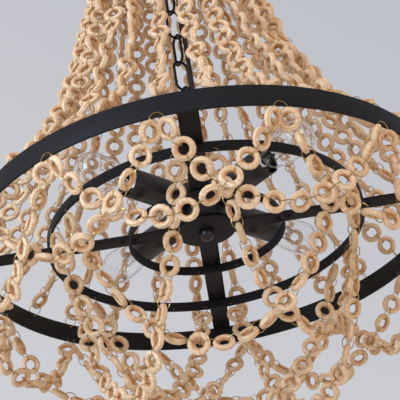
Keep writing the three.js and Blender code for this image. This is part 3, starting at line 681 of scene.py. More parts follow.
GLASS_WAVES = 55.0
GLASS_DETAIL = 1.0
GLASS_BUMP = 0.04
GLASS_BUMP_DEPTH = 0.0004
STREAK_STRENGTH = 0.85
PORE_STRENGTH = 0.7
PORE_SHADE = 0.6
# Painted shade inside each ring's hole: the span of the inner weight over which it grows, and its greatest strength
HOLE_SHADE_RANGE = (0.2, 1.0)
HOLE_SHADE_STRENGTH = 0.85
WOOD_ROUGHNESS = (0.5, 0.68)
WOOD_BUMP = 0.35
WOOD_BUMP_DEPTH = 0.0002


def glass():
    """Clear blown glass with a faint waviness"""
    found = bpy.data.materials.get("Clear glass")
    if found:
        return found
    made, tree, shader = material(
        "Clear glass", Transmission_Weight=1.0, IOR=1.45, Roughness=0.0, Base_Color=(0.985, 0.99, 0.99, 1)
    )
    waves = noise(tree, place_in_object(tree), GLASS_WAVES, GLASS_DETAIL)
    bumped(tree, shader, waves, GLASS_BUMP, GLASS_BUMP_DEPTH)
    return made


def wood():
    """Unvarnished turned wood: each ring has its own tone and its own stretch of grain, and painted shade darkens the
    inside of its hole
    """
    found = bpy.data.materials.get("Turned wood")
    if found:
        return found
    made, tree, shader = material("Turned wood", Specular_IOR_Level=0.35)
    place = add(tree, "ShaderNodeAttribute", attribute_name="grain")
    tone = add(tree, "ShaderNodeAttribute", attribute_name="tone")
    inner = add(tree, "ShaderNodeAttribute", attribute_name="inner")
    grain = add(tree, "ShaderNodeGroup", node_tree=wood_grain())
    connect(tree, place.outputs["Vector"], grain.inputs["Vector"])
    light, dark = tuple(beads().wood_light), tuple(beads().wood_dark)
    ring = mixed(tree, tone.outputs["Fac"], light, tuple((a + b) / 2 for a, b in zip(light, dark)))
    streaked = mixed(tree, scaled(tree, grain.outputs["Streak"], STREAK_STRENGTH), ring, dark)
    pores = scaled(tree, grain.outputs["Pore"], PORE_STRENGTH)
    speckled = mixed(tree, pores, streaked, lighter(dark, PORE_SHADE))
    # Painted shade: the inside of each ring's hole is mixed towards a dark orange, standing in for the shade there
    hole_shade = between(tree, inner.outputs["Fac"], HOLE_SHADE_RANGE, (0.0, HOLE_SHADE_STRENGTH))
    connect(tree, mixed(tree, hole_shade, speckled, tuple(beads().painted_hole_shade)), shader.inputs["Base Color"])
    rough = between(tree, grain.outputs["Streak"], (0.0, 1.0), WOOD_ROUGHNESS)
    connect(tree, rough, shader.inputs["Roughness"])
    bumped(tree, shader, grain.outputs["Height"], WOOD_BUMP, WOOD_BUMP_DEPTH)
    return made


# Mesh helpers

SHARP_EDGE = math.radians(38)
MERGE_DISTANCE = 1e-6
CORNER_SEGMENTS = 3
EDGE_SEGMENTS = 2


def placed(name, data):
    """A new object in the scene"""
    made = bpy.data.objects.new(name, data)
    bpy.context.scene.collection.objects.link(made)
    return made


def mesh_of(name, bm):
    """A mesh that takes over a bmesh"""
    mesh = bpy.data.meshes.new(name)
    bm.to_mesh(mesh)
    bm.free()
    return mesh


def shape_of(holder):
    """The evaluated shape of an object, as a bmesh"""
    evaluated = holder.evaluated_get(bpy.context.evaluated_depsgraph_get())
    mesh = bpy.data.meshes.new_from_object(evaluated)
    bm = bmesh.new()
    bm.from_mesh(mesh)
    bpy.data.meshes.remove(mesh)
    return bm


def finish_piece(name, bm, finish, body, slot, nodes=()):
    """Makes the finished object of a bmesh, and says what it rides on and stands for"""
    mesh = mesh_of(name, bm)
    mesh.shade_smooth()
    mesh.set_sharp_from_angle(angle=SHARP_EDGE)
    mesh.materials.append(finish)
    piece = placed(name, mesh)
    if body:
        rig.ride(piece, body)
    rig.slot(piece, slot)
    if nodes:
        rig.replaces(piece, *nodes)
    return piece


def black_piece(name, bm, node, body=PENDANT, finish=coat):
    """A black metal piece that stands for one node"""
    finish_piece(name, bm, finish(), body, "black_metal", [node])


def bevelled(bm, geom, offset, segments, affect):
    bmesh.ops.bevel(
        bm, geom=geom, offset=offset, offset_type="OFFSET", segments=segments, profile=0.5, affect=affect,
        material=-1, clamp_overlap=affect == "VERTICES",
    )


def spun(bm, geom, steps):
    """A full turn about Z"""
    bmesh.ops.spin(
        bm, geom=geom, cent=(0, 0, 0), axis=UP, dvec=(0, 0, 0), angle=math.tau, steps=steps, use_merge=True,
        use_duplicate=False,
    )


def revolve(outline, rounding=0.0, closed=True, steps=48):
    """Turns an outline of (radius, height) points about Z, its corners rounded first"""
    bm = bmesh.new()
    points = [bm.verts.new((r, 0, z)) for r, z in outline]
    ends = points[1:] + points[:1] if closed else points[1:]
    for first, second in zip(points, ends):
        bm.edges.new((first, second))
    if rounding:
        corners = [v for v in points if v.co.x > MERGE_DISTANCE and len(v.link_edges) == 2]
        bevelled(bm, corners, rounding, CORNER_SEGMENTS, "VERTICES")
    spun(bm, bm.verts[:] + bm.edges[:], steps)
    tidy(bm)
    return bm


def tidy(bm):
    bmesh.ops.remove_doubles(bm, verts=bm.verts[:], dist=MERGE_DISTANCE)
    bmesh.ops.recalc_face_normals(bm, faces=bm.faces[:])


def moved(bm, matrix):
    bmesh.ops.transform(bm, matrix=matrix, verts=bm.verts[:])
    return bm


def band(inner, outer, low, high, rounding, steps):
    return revolve([(inner, low), (outer, low), (outer, high), (inner, high)], rounding, True, steps)


def rod(radius, low, high, rounding=0.0, steps=32):
    return revolve([(0, low), (radius, low), (radius, high), (0, high)], rounding, False, steps)


def brick(low, high, rounding=0.0):
    """A block between two corners with rounded edges"""
    bm = bmesh.new()
    low, high = Vector(low), Vector(high)
    matrix = Matrix.Translation((low + high) / 2) @ Matrix.Diagonal((*(high - low), 1))
    bmesh.ops.create_cube(bm, size=1.0, matrix=matrix)
    if rounding:
        bevelled(bm, bm.edges[:], rounding, EDGE_SEGMENTS, "EDGES")
    return bm


def torus(bm, major, minor, steps, sides, matrix=Matrix.Identity(4)):
    """Adds a ring of round stock, lying in XY before its matrix, and returns its vertices"""
    circle = bmesh.ops.create_circle(
        bm, cap_ends=False, segments=sides, radius=minor,
        matrix=Matrix.Translation((major, 0, 0)) @ Matrix.Rotation(math.pi / 2, 4, "X"),
    )["verts"]
    edges = list({e for v in circle for e in v.link_edges})
    before = set(bm.verts) - set(circle)
    spun(bm, circle + edges, steps)
    made = [v for v in bm.verts if v not in before]
    bmesh.ops.remove_doubles(bm, verts=made, dist=MERGE_DISTANCE)
    made = [v for v in bm.verts if v not in before]
    bmesh.ops.recalc_face_normals(bm, faces=list({f for v in made for f in v.link_faces}))
    bmesh.ops.transform(bm, matrix=matrix, verts=made)
    return made


def joined(*parts):
    """One bmesh that holds all the parts"""
    whole = bmesh.new()
    for part in parts:
        mesh = mesh_of("part", part)
        whole.from_mesh(mesh)
        bpy.data.meshes.remove(mesh)
    return whole


def carved(bm, tool, operation="DIFFERENCE"):
    """Cuts a bmesh with another, or joins the two to one surface"""
    body, cutter = objects = [placed("part", mesh_of("part", part)) for part in (bm, tool)]
    modifier = body.modifiers.new("Cut", "BOOLEAN")
    modifier.operation = operation
    modifier.solver = "EXACT"
    modifier.object = cutter
    whole = shape_of(body)
    for made in objects:
        mesh = made.data
        bpy.data.objects.remove(made)
        bpy.data.meshes.remove(mesh)
    return whole


def smooth_points(points, per_span):
    """Points of a smooth line through all the given ones"""
    made = []
    spans = len(points) - 1
    for i in range(spans):
        before, a, b = points[max(0, i - 1)], points[i], points[i + 1]
        after = points[min(spans, i + 2)]
        for k in range(per_span):
            t = k / per_span
            made.append(
                0.5 * (2 * a + (b - before) * t + (2 * before - 5 * a + 4 * b - after) * t**2
                       + (3 * a - before - 3 * b + after) * t**3)
            )
    return [*made, points[-1].copy()]


def wire(points, radius, sides):
    """A round wire along points"""
    line = bpy.data.curves.new("wire", "CURVE")
    line.dimensions = "3D"
    line.bevel_depth = radius
    line.bevel_resolution = (sides - 4) // 2
    line.use_fill_caps = True
    spline = line.splines.new("POLY")
    spline.points.add(len(points) - 1)
    for target, point in zip(spline.points, points):
        target.co = (*point, 1)
    holder = placed("wire", line)
    bm = shape_of(holder)
    tidy(bm)
    bpy.data.objects.remove(holder)
    bpy.data.curves.remove(line)
    return bm


def outward(azimuth):
    """Direction at an azimuth counted from -Y towards +X"""
    return Vector((math.sin(azimuth), -math.cos(azimuth), 0))


# Chain links and wire eyes

LINK_STEPS = 24
LINK_SIDES = 12


def chain_link(z, half, turn):
    """An oval link: a wire ring parted at its middle and drawn out"""
    iron = metal()
    bend = iron.link_width / 2 - iron.link_wire
    bm = bmesh.new()
    stand = Matrix.Rotation(math.pi / 2, 4, "X") @ Matrix.Rotation(math.pi / LINK_STEPS, 4, "Z")
    for vert in torus(bm, bend, iron.link_wire, LINK_STEPS, LINK_SIDES, stand):
        vert.co.z += math.copysign(half - bend - iron.link_wire, vert.co.z)
    return moved(bm, Matrix.Translation((0, 0, z)) @ Matrix.Rotation(turn, 4, "Z"))


def wire_eye(radius, stock, z, turn):
    bm = bmesh.new()
    stand = Matrix.Rotation(turn, 4, "Z") @ Matrix.Rotation(math.pi / 2, 4, "X")
    torus(bm, radius, stock, LINK_STEPS + LINK_SIDES, LINK_SIDES, Matrix.Translation((0, 0, z)) @ stand)
    return bm


# Strands

RING_STEPS = 14
RING_SIDES = 6
LOOP_STEPS = 12
LOOP_SIDES = 4
GRAIN_DRIFT = 0.4
HALVINGS = 60
LEAST_BEND = 0.0001
MOST_BEND = 12.0
TONE_SKEW = 1.5
WIRE_BITE = 0.75


def hanging_curve(start, end, whole):
    """The curve that a slack strand of a whole length hangs in, between (across, height) points"""
    run, rise = end[0] - start[0], end[1] - start[1]
    target = math.sqrt(whole**2 - rise**2) / run
    low, high = LEAST_BEND, MOST_BEND
    for _ in range(HALVINGS):
        middle = (low + high) / 2
        if math.sinh(middle) / middle < target:
            low = middle
        else:
            high = middle
    scale = run / (2 * low)
    first = math.atanh(rise / whole) - low

    def place(distance):
        u = math.asinh(math.sinh(first) + distance / scale)
        return start[0] + scale * (u - first), start[1] + scale * (math.cosh(u) - math.cosh(first))

    return place


def sagged_length(span, sag):
    """Length of a strand between level ends that sags by a given depth"""
    low, high = span, span + 3 * sag
    for _ in range(HALVINGS):
        middle = (low + high) / 2
        if -hanging_curve((0, 0), (span, 0), middle)(middle / 2)[1] < sag:
            low = middle
        else:
            high = middle
    return low


class Strands:
    """Wooden rings and wire loops of some strands, collected in two bmeshes"""

    def __init__(self, seed):
        bead = beads()
        self.draw = random.Random(seed)
        self.rings = bmesh.new()
        self.grain = self.rings.verts.layers.float_vector.new("grain")
        self.tone = self.rings.verts.layers.float.new("tone")
        inner = self.rings.verts.layers.float.new("inner")
        self.major = (bead.ring_diameter - bead.ring_stock) / 2
        self.reach = self.major - bead.ring_stock / 2 - bead.wire_diameter * WIRE_BITE
        for vert in torus(self.rings, self.major, bead.ring_stock / 2, RING_STEPS, RING_SIDES):
            # Weight of the painted shade inside the ring's hole: nothing on the outer half, growing towards the hole's
            # edge
            vert[inner] = max(0, (self.major - vert.co.xy.length) / (bead.ring_stock / 2))
        self.ring_pattern = self.rings.verts[:] + self.rings.edges[:] + self.rings.faces[:]
        self.loops = bmesh.new()
        self.loop_radius = (bead.loop_width - bead.wire_diameter) / 2
        torus(self.loops, self.loop_radius, bead.wire_diameter / 2, LOOP_STEPS, LOOP_SIDES)
        self.loop_pattern = self.loops.verts[:] + self.loops.edges[:] + self.loops.faces[:]

    def ring(self, centre, along, normal):
        """One wooden ring, its hole looking along normal"""
        made = bmesh.ops.duplicate(self.rings, geom=self.ring_pattern)["geom"]
        verts = [v for v in made if isinstance(v, bmesh.types.BMVert)]
        drift = Vector([self.draw.uniform(-GRAIN_DRIFT, GRAIN_DRIFT) for _ in range(3)])
        tone = self.draw.random() ** TONE_SKEW
        turn = Matrix.Rotation(self.draw.uniform(0, math.tau), 4, "Z")
        for vert in verts:
            vert[self.grain] = vert.co + drift
            vert[self.tone] = tone
        size = 1 + self.draw.uniform(-1, 1) * beads().size_spread
        matrix = Matrix.Translation(centre) @ facing(along, normal) @ turn @ Matrix.Scale(size, 4)
        bmesh.ops.transform(self.rings, matrix=matrix, verts=verts)

    def loop(self, first, last, normal):
        """One oval wire loop between two points"""
        reach = last - first
        made = bmesh.ops.duplicate(self.loops, geom=self.loop_pattern)["geom"]
        verts = [v for v in made if isinstance(v, bmesh.types.BMVert)]
        stretch = Matrix.Diagonal((reach.length / 2 / self.loop_radius, 1, 1, 1))
        matrix = Matrix.Translation((first + last) / 2) @ facing(reach.normalized(), normal) @ stretch
        bmesh.ops.transform(self.loops, matrix=matrix, verts=verts)

    def hang(self, hook, centre, lean):
        """The loop from a hook to the end ring of a strand, at a slant through the wall"""
        toward = (centre - hook).normalized()
        out = Vector((hook.x, hook.y, 0)).normalized()
        self.loop(hook, centre - toward * self.reach, Matrix.Rotation(lean, 3, UP) @ out)

    def string(self, place, side, rings, stretch, swing, start_hook, end_hook):
        """A strand: its rings along a stretch of place, which gives the point at a share of the length"""
        bead = beads()
        step = 1 / (4 * rings)
        turn = self.draw.uniform(-1, 1) * math.pi / 2
        last = None
        for k in range(rings):
            at = stretch[0] + (stretch[1] - stretch[0]) * (2 * k + 1) / (2 * rings)
            centre = place(at)
            along = (place(min(1, at + step)) - place(max(0, at - step))).normalized()
            across = (side - along * side.dot(along)).normalized()
            tilt = swing(k, rings, at, turn)
            normal = Matrix.Rotation(tilt, 3, along) @ across
            self.ring(centre, along, normal)
            face = along.cross(normal)
            if last:
                toward = (centre - last[0]).normalized()
                middle = face + last[1] if face.dot(last[1]) > 0 else face - last[1]
                lean = Matrix.Rotation(self.draw.uniform(-bead.loop_turn, bead.loop_turn), 3, toward)
                self.loop(last[0] + toward * self.reach, centre - toward * self.reach, lean @ middle)
            elif start_hook:
                self.hang(start_hook, centre, -bead.hook_lean)
            last = (centre, face)
            turn += self.draw.choice((-1, 1)) * self.draw.uniform(bead.least_turn, bead.most_turn)
        if end_hook:
            self.hang(end_hook, last[0], bead.hook_lean)

    def finish(self, name, nodes):
        """Makes the two pieces, without the ring and the loop that the others were copied from"""
        for bm, pattern in ((self.rings, self.ring_pattern), (self.loops, self.loop_pattern)):
            faces = [g for g in pattern if isinstance(g, bmesh.types.BMFace)]
            bmesh.ops.delete(bm, geom=faces, context="FACES")
            loose = [v for v in bm.verts if not v.link_faces]
            bmesh.ops.delete(bm, geom=loose, context="VERTS")
        finish_piece(f"{name}_wood", self.rings, wood(), PENDANT, "natural_wood", nodes)
        finish_piece(f"{name}_wire", self.loops, gold(), PENDANT, "gold_wire")


def facing(along, normal):
    """Turns X to along and Z as near to normal as can be"""
    z = (normal - along * normal.dot(along)).normalized()
    return Matrix((along, z.cross(along), z)).transposed().to_4x4()


# Operators

class CHANDELIER_OT_camera(bpy.types.Operator):
    """Puts the camera below and in front of the rings"""

    bl_idname = "chandelier.camera"
    bl_label = "Camera"

    clip_range = 100

    def execute(self, context):
        stage = stage_settings()
        middle = Vector((0, 0, STRAP_TOP - metal().strap_thickness))
        data = bpy.data.cameras.new("camera")
        data.lens = stage.lens
        data.clip_start = stage.distance / self.clip_range
        data.clip_end = stage.distance * self.clip_range
        place = middle + stage.distance * Vector((0, -math.cos(stage.drop), -math.sin(stage.drop)))
        look = (middle - place).to_track_quat("-Z", "Y").to_matrix().to_4x4()
        aim = Matrix.Rotation(-stage.aim_right, 4, "Y") @ Matrix.Rotation(stage.aim_up, 4, "X")
        camera = placed("camera", data)
        camera.matrix_world = Matrix.Translation(place) @ look @ aim @ Matrix.Rotation(stage.roll, 4, "Z")
        context.scene.camera = camera
        return {"FINISHED"}


class CHANDELIER_OT_cord(bpy.types.Operator):
    """Runs the power cord from the hub up beside the chain and into the canopy"""

    bl_idname = "chandelier.cord"
    bl_label = "Power cord"

    # Heights of the bends over the two swinging joints
    split = -0.081
    upper_start = -0.06
    lower_end = -0.125
    steps_per_span = 8
    sides = 16

    def route(self):
        """Points along the cord, smoothed from places seen from above and their heights"""
        cord = cord_settings()
        chain, crown, canopy = tuple(cord.beside_chain), tuple(cord.at_crown), tuple(cord.at_canopy)
        places = [
            (chain, HUB.top - cord.in_hub),
            (chain, HUB.top + 0.012),
            (chain, HUB.top + 0.1),
            (chain, HUB.top + 0.19),
            (chain, HUB.top + 0.28),
            ((0.0118, -0.0046), HUB.top + 0.335),
            ((0.0128, -0.009), HUB.top + 0.372),
            ((0.0139, -0.013), HUB.top + 0.398),
            (crown, CROWN.low),
            ((0.0155, -0.0155), CROWN.low + 0.035),
            ((0.0178, -0.0178), CROWN.low + 0.07),
            ((0.0196, -0.0196), CROWN.low + 0.1),
            (canopy, CANOPY.low - 0.03),
            (canopy, CANOPY.low),
            (canopy, CANOPY.low + cord.in_canopy),
        ]
        return smooth_points([Vector((*xy, z)) for xy, z in places], self.steps_per_span)

    def execute(self, context):
        radius = cord_settings().radius
        points = self.route()
        cut = next(i for i, p in enumerate(points) if p.z > self.split)
        parts = (
            ("power_cord_lower", points[: cut + 1], (PENDANT, UPPER_LINK), (self.lower_end, self.split)),
            ("power_cord_upper", points[cut:], (UPPER_LINK, CEILING), (self.split, self.upper_start)),
        )
        for name, path, bodies, (start, end) in parts:
            nodes = ["power_cord"] if path[0] is points[0] else []
            piece = finish_piece(name, wire(path, radius, self.sides), sheath(), None, "black_rubber", nodes)
            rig.blend(piece, *bodies, start=(0, 0, start), end=(0, 0, end))
            length = sum((b - a).length for a, b in zip(path, path[1:]))
            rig.cord(
                piece, exit=path[0], length=length, diameter=2 * radius, far_end="object",
                stiffness="medium", lay="hanging", path=path,
            )
        return {"FINISHED"}


class CHANDELIER_OT_rings(bpy.types.Operator):
    """Rolls the four black rings and drills the holes that the strands hang in"""

    bl_idname = "chandelier.rings"
    bl_label = "Rings"

    outer_steps = 144
    inner_steps = 112
    crown_steps = 72
    middle_holes = 30
    middle_phase = math.radians(6)
    hub_holes = 12
    hub_phase = math.radians(11)
    drill_sides = 10

    def drill(self, radius, z, azimuths):
        """Short round cutters across a ring's wall"""
        wall = metal().wall
        tools = []
        for azimuth in azimuths:
            tool = rod(strands().hole_radius, -2 * wall, 2 * wall, steps=self.drill_sides)
            out = outward(azimuth)
            lay = Matrix.Translation(out * (radius - wall / 2) + UP * z)
            tools.append(moved(tool, lay @ out.to_track_quat("Z", "Y").to_matrix().to_4x4()))
        return tools

    def execute(self, context):
        iron, strand = metal(), strands()
        dome = [(i - DOME_PHASE) * math.tau / strand.dome_strands for i in range(strand.dome_strands)]
        hooks = [(i - HOOK_PHASE) * math.tau / strand.swags for i in range(strand.swags)]
        middle = [self.middle_phase + i * math.tau / self.middle_holes for i in range(self.middle_holes)]
        inner = [self.hub_phase + i * math.tau / self.hub_holes for i in range(self.hub_holes)]
        low_hole = strand.low_hole * NARROW_HOLE
        outer_tools = self.drill(OUTER.radius, OUTER.top - strand.top_hole, dome)
        outer_tools += self.drill(OUTER.radius, OUTER.low + strand.low_hole, hooks)
        middle_tools = self.drill(MIDDLE.radius, MIDDLE.low + low_hole, middle)
        hub_tools = self.drill(HUB_RING.radius, HUB_RING.low + low_hole, inner)
        for node, ring, steps, tools in (
            ("outer_ring", OUTER, self.outer_steps, outer_tools),
            ("middle_ring", MIDDLE, self.inner_steps, middle_tools),
            ("hub_ring", HUB_RING, self.inner_steps, hub_tools),
            ("crown_ring", CROWN, self.crown_steps, []),
        ):
            bm = band(ring.radius - iron.wall, ring.radius, ring.low, ring.top, iron.edge, steps)
            if tools:
                bm = carved(bm, joined(*tools))
            black_piece(f"{node}_steel", bm, node)
        return {"FINISHED"}


class CHANDELIER_OT_straps(bpy.types.Operator):
    """Lays the crossed straps and the crown's bars, halved where they cross"""

    bl_idname = "chandelier.straps"
    bl_label = "Straps"

    weld_segments = 16

    def weld(self, x, z):
        """The rounded bead of a weld under a strap"""
        iron = metal()
        bm = bmesh.new()
        size = Matrix.Diagonal((iron.weld_radius, iron.weld_radius, iron.weld_height, 1))
        bmesh.ops.create_uvsphere(
            bm, u_segments=self.weld_segments, v_segments=self.weld_segments // 2, radius=1,
            matrix=Matrix.Translation((x, 0, z)) @ size,
        )
        return bm

    def strap(self, reach, width, low, keeps_top, radii):
        """One strap along X with welds at some radii, halved and drilled at its middle"""
        iron, gap = metal(), strands().seat_gap
        high = low + iron.strap_thickness
        middle = (low + high) / 2
        bm = brick((-reach, -width / 2, low), (reach, width / 2, high), iron.edge)
        for radius in radii:
            for x in (radius + iron.weld_offset, radius - iron.wall - iron.weld_offset):
                for side in (-x, x):
                    bm = carved(bm, self.weld(side, low), "UNION")
        lap = width / 2 + gap
        if keeps_top:
            notch = brick((-lap, -lap, low - iron.wall), (lap, lap, middle + gap / 2))
        else:
            notch = brick((-lap, -lap, middle - gap / 2), (lap, lap, high + iron.wall))
        bm = carved(bm, notch)
        return carved(bm, rod(iron.tube_radius + gap, low - iron.wall, high + iron.wall))

    def execute(self, context):
        iron = metal()
        strap_low = STRAP_TOP - iron.strap_thickness
        quarter = Matrix.Rotation(math.pi / 2, 4, "Z")
        carried = (MIDDLE.radius, HUB_RING.radius)
        for node, reach, width, low, keeps_top, radii in (
            ("strap_x", STRAP_REACH, iron.strap_width, strap_low, True, carried),
            ("strap_y", STRAP_REACH, iron.strap_width, strap_low, False, carried),
            ("crown_bar_x", CROWN_BAR_REACH, iron.crown_bar_width, CROWN.low, True, ()),
            ("crown_bar_y", CROWN_BAR_REACH, iron.crown_bar_width, CROWN.low, False, ()),
        ):
            bm = self.strap(reach, width, low, keeps_top, radii)
            if not keeps_top:
                moved(bm, quarter)
            black_piece(f"{node}_steel", bm, node)
        return {"FINISHED"}


class CHANDELIER_OT_hub(bpy.types.Operator):
    """Turns the hub, its plate, the ball under it and the cord's bush"""

    bl_idname = "chandelier.hub"
    bl_label = "Hub"

    wall = 0.0015
    plate_edge = 0.0009
    ball_flat = 0.003
    ball_bore = 0.008
    bush_flange = 0.005
    bush_height = 0.003
    bush_neck = 0.0046
    steps = 72
    ball_steps = 48
    arc_steps = 20
    bush_steps = 32

    def body(self):
        iron, fitting, gap = metal(), lamp(), strands().seat_gap
        hole, inner = iron.tube_radius + gap, HUB.radius - self.wall
        bm = revolve([
            (hole, HUB.top - self.wall), (inner, HUB.top - self.wall), (inner, HUB.low),
            (HUB.radius, HUB.low), (HUB.radius, HUB.top), (hole, HUB.top),
        ], iron.edge, True, self.steps)
        tools = []
        for i in range(fitting.lamps):
            tool = rod(hole, HUB.radius - 4 * self.wall, HUB.radius + 2 * self.wall)
            tools.append(moved(tool, lamp_axis(i)))
        tool = rod(self.bush_neck + gap, HUB.top - 2 * self.wall, HUB.top + self.wall)
        tools.append(moved(tool, Matrix.Translation((*cord_settings().beside_chain, 0))))
        return carved(bm, joined(*tools))

    def finial(self):
        """The ball, flat on top where it is drilled"""
        gap = strands().seat_gap
        low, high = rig.box("finial_ball")
        radius = high.z - low.z - self.ball_flat
        centre = low.z + radius
        hole = metal().tube_radius + gap
        flat = math.acos(self.ball_flat / radius)
        turns = [math.pi - (math.pi - flat) * i / self.arc_steps for i in range(1, self.arc_steps + 1)]
        outline = [(radius * math.sin(turn), centre + radius * math.cos(turn)) for turn in turns]
        bore = high.z - self.ball_bore - gap
        outline = [(0, low.z), *outline, (hole, high.z), (hole, bore), (0, bore)]
        return revolve(outline, closed=False, steps=self.ball_steps)

    def execute(self, context):
        gap = strands().seat_gap
        hole = metal().tube_radius + gap
        black_piece("hub_body_shell", self.body(), "hub_body", finish=enamel)
        plate = band(hole, PLATE.radius, PLATE.low, PLATE.top, self.plate_edge, self.steps)
        black_piece("hub_plate_disc", plate, "hub_plate")
        black_piece("finial_ball_turned", self.finial(), "finial_ball", finish=enamel)
        bore, seat = cord_settings().radius + gap, HUB.top + gap
        outline = [
            (bore, HUB.top - self.wall), (self.bush_neck, HUB.top - self.wall), (self.bush_neck, seat),
            (self.bush_flange, seat), (self.bush_flange, seat + self.bush_height / 2),
            (self.bush_neck, seat + self.bush_height), (bore, seat + self.bush_height),
        ]
        bush = revolve(outline, gap / 3, True, self.bush_steps)
        moved(bush, Matrix.Translation((*cord_settings().beside_chain, 0)))
        finish_piece("cord_bush", bush, rubber(), PENDANT, "black_rubber", ["cord_bushing"])
        return {"FINISHED"}


def lamp_axis(i):
    """Lays a shape made along Z down along a lamp's axis"""
    fitting = lamp()
    turn = fitting.lamp_turn + i * math.tau / fitting.lamps
    height = STRAP_TOP - metal().strap_thickness + fitting.lamp_rise
    return (Matrix.Translation((0, 0, height)) @ Matrix.Rotation(turn, 4, "Z")
            @ Matrix.Rotation(math.pi / 2, 4, "Y"))


class CHANDELIER_OT_sockets(bpy.types.Operator):
    """Turns the socket cups and the lampholders in them, each with its screw shell"""

    bl_idname = "chandelier.sockets"
    bl_label = "Sockets"

    steps = 64
    lip = 0.0007
    seat_depth = 0.008
    shell_wall = 0.0003
    shell_turns = 6

    def cup(self):
        fitting = lamp()
        inner, hole = fitting.cup_radius - fitting.cup_wall, metal().tube_radius + strands().seat_gap
        rear = fitting.cup_rear + fitting.cup_wall
        outline = [
            (hole, fitting.cup_rear), (fitting.cup_radius, fitting.cup_rear),
            (fitting.cup_radius, fitting.cup_mouth), (inner, fitting.cup_mouth), (inner, rear), (hole, rear),
        ]
        return revolve(outline, self.lip, True, self.steps)

    def holder(self):
        fitting = lamp()
        floor, seat = fitting.holder_mouth - fitting.cavity_depth, fitting.holder_rear + self.seat_depth
        hole = metal().tube_radius + strands().seat_gap
        outline = [
            (0, seat), (hole, seat), (hole, fitting.holder_rear),
            (fitting.holder_radius, fitting.holder_rear), (fitting.holder_radius, fitting.holder_mouth),
            (fitting.cavity_radius, fitting.holder_mouth), (fitting.cavity_radius, floor), (0, floor),
        ]
        return revolve(outline, self.lip / 2, False, self.steps)

    def shell(self):
        """The thin threaded lining that a bulb screws into"""
        fitting = lamp()
        low = fitting.holder_mouth - fitting.cavity_depth + 2 * self.shell_wall
        outer = fitting.cavity_radius - self.shell_wall / 2
        line = [
            (outer - (self.shell_wall if i % 2 else 0), low + i * fitting.thread_pitch / 2)
            for i in range(2 * self.shell_turns + 1)
        ]
        outline = line + [(r - self.shell_wall, z) for r, z in reversed(line)]
        return revolve(outline, steps=self.steps)

    def execute(self, context):
        for i in range(lamp().lamps):
            which, axis = i + 1, lamp_axis(i)
            cup = moved(self.cup(), axis)
            black_piece(f"cup_{which}_shell", cup, f"socket_cup_{which}", finish=enamel)
            holder = moved(self.holder(), axis)
            finish_piece(
                f"holder_{which}_body", holder, phenolic(), PENDANT, "phenolic", [f"lampholder_{which}"]
            )
            shell = moved(self.shell(), axis)
            finish_piece(f"screw_shell_{which}", shell, shell_brass(), PENDANT, "gold_wire")
        return {"FINISHED"}


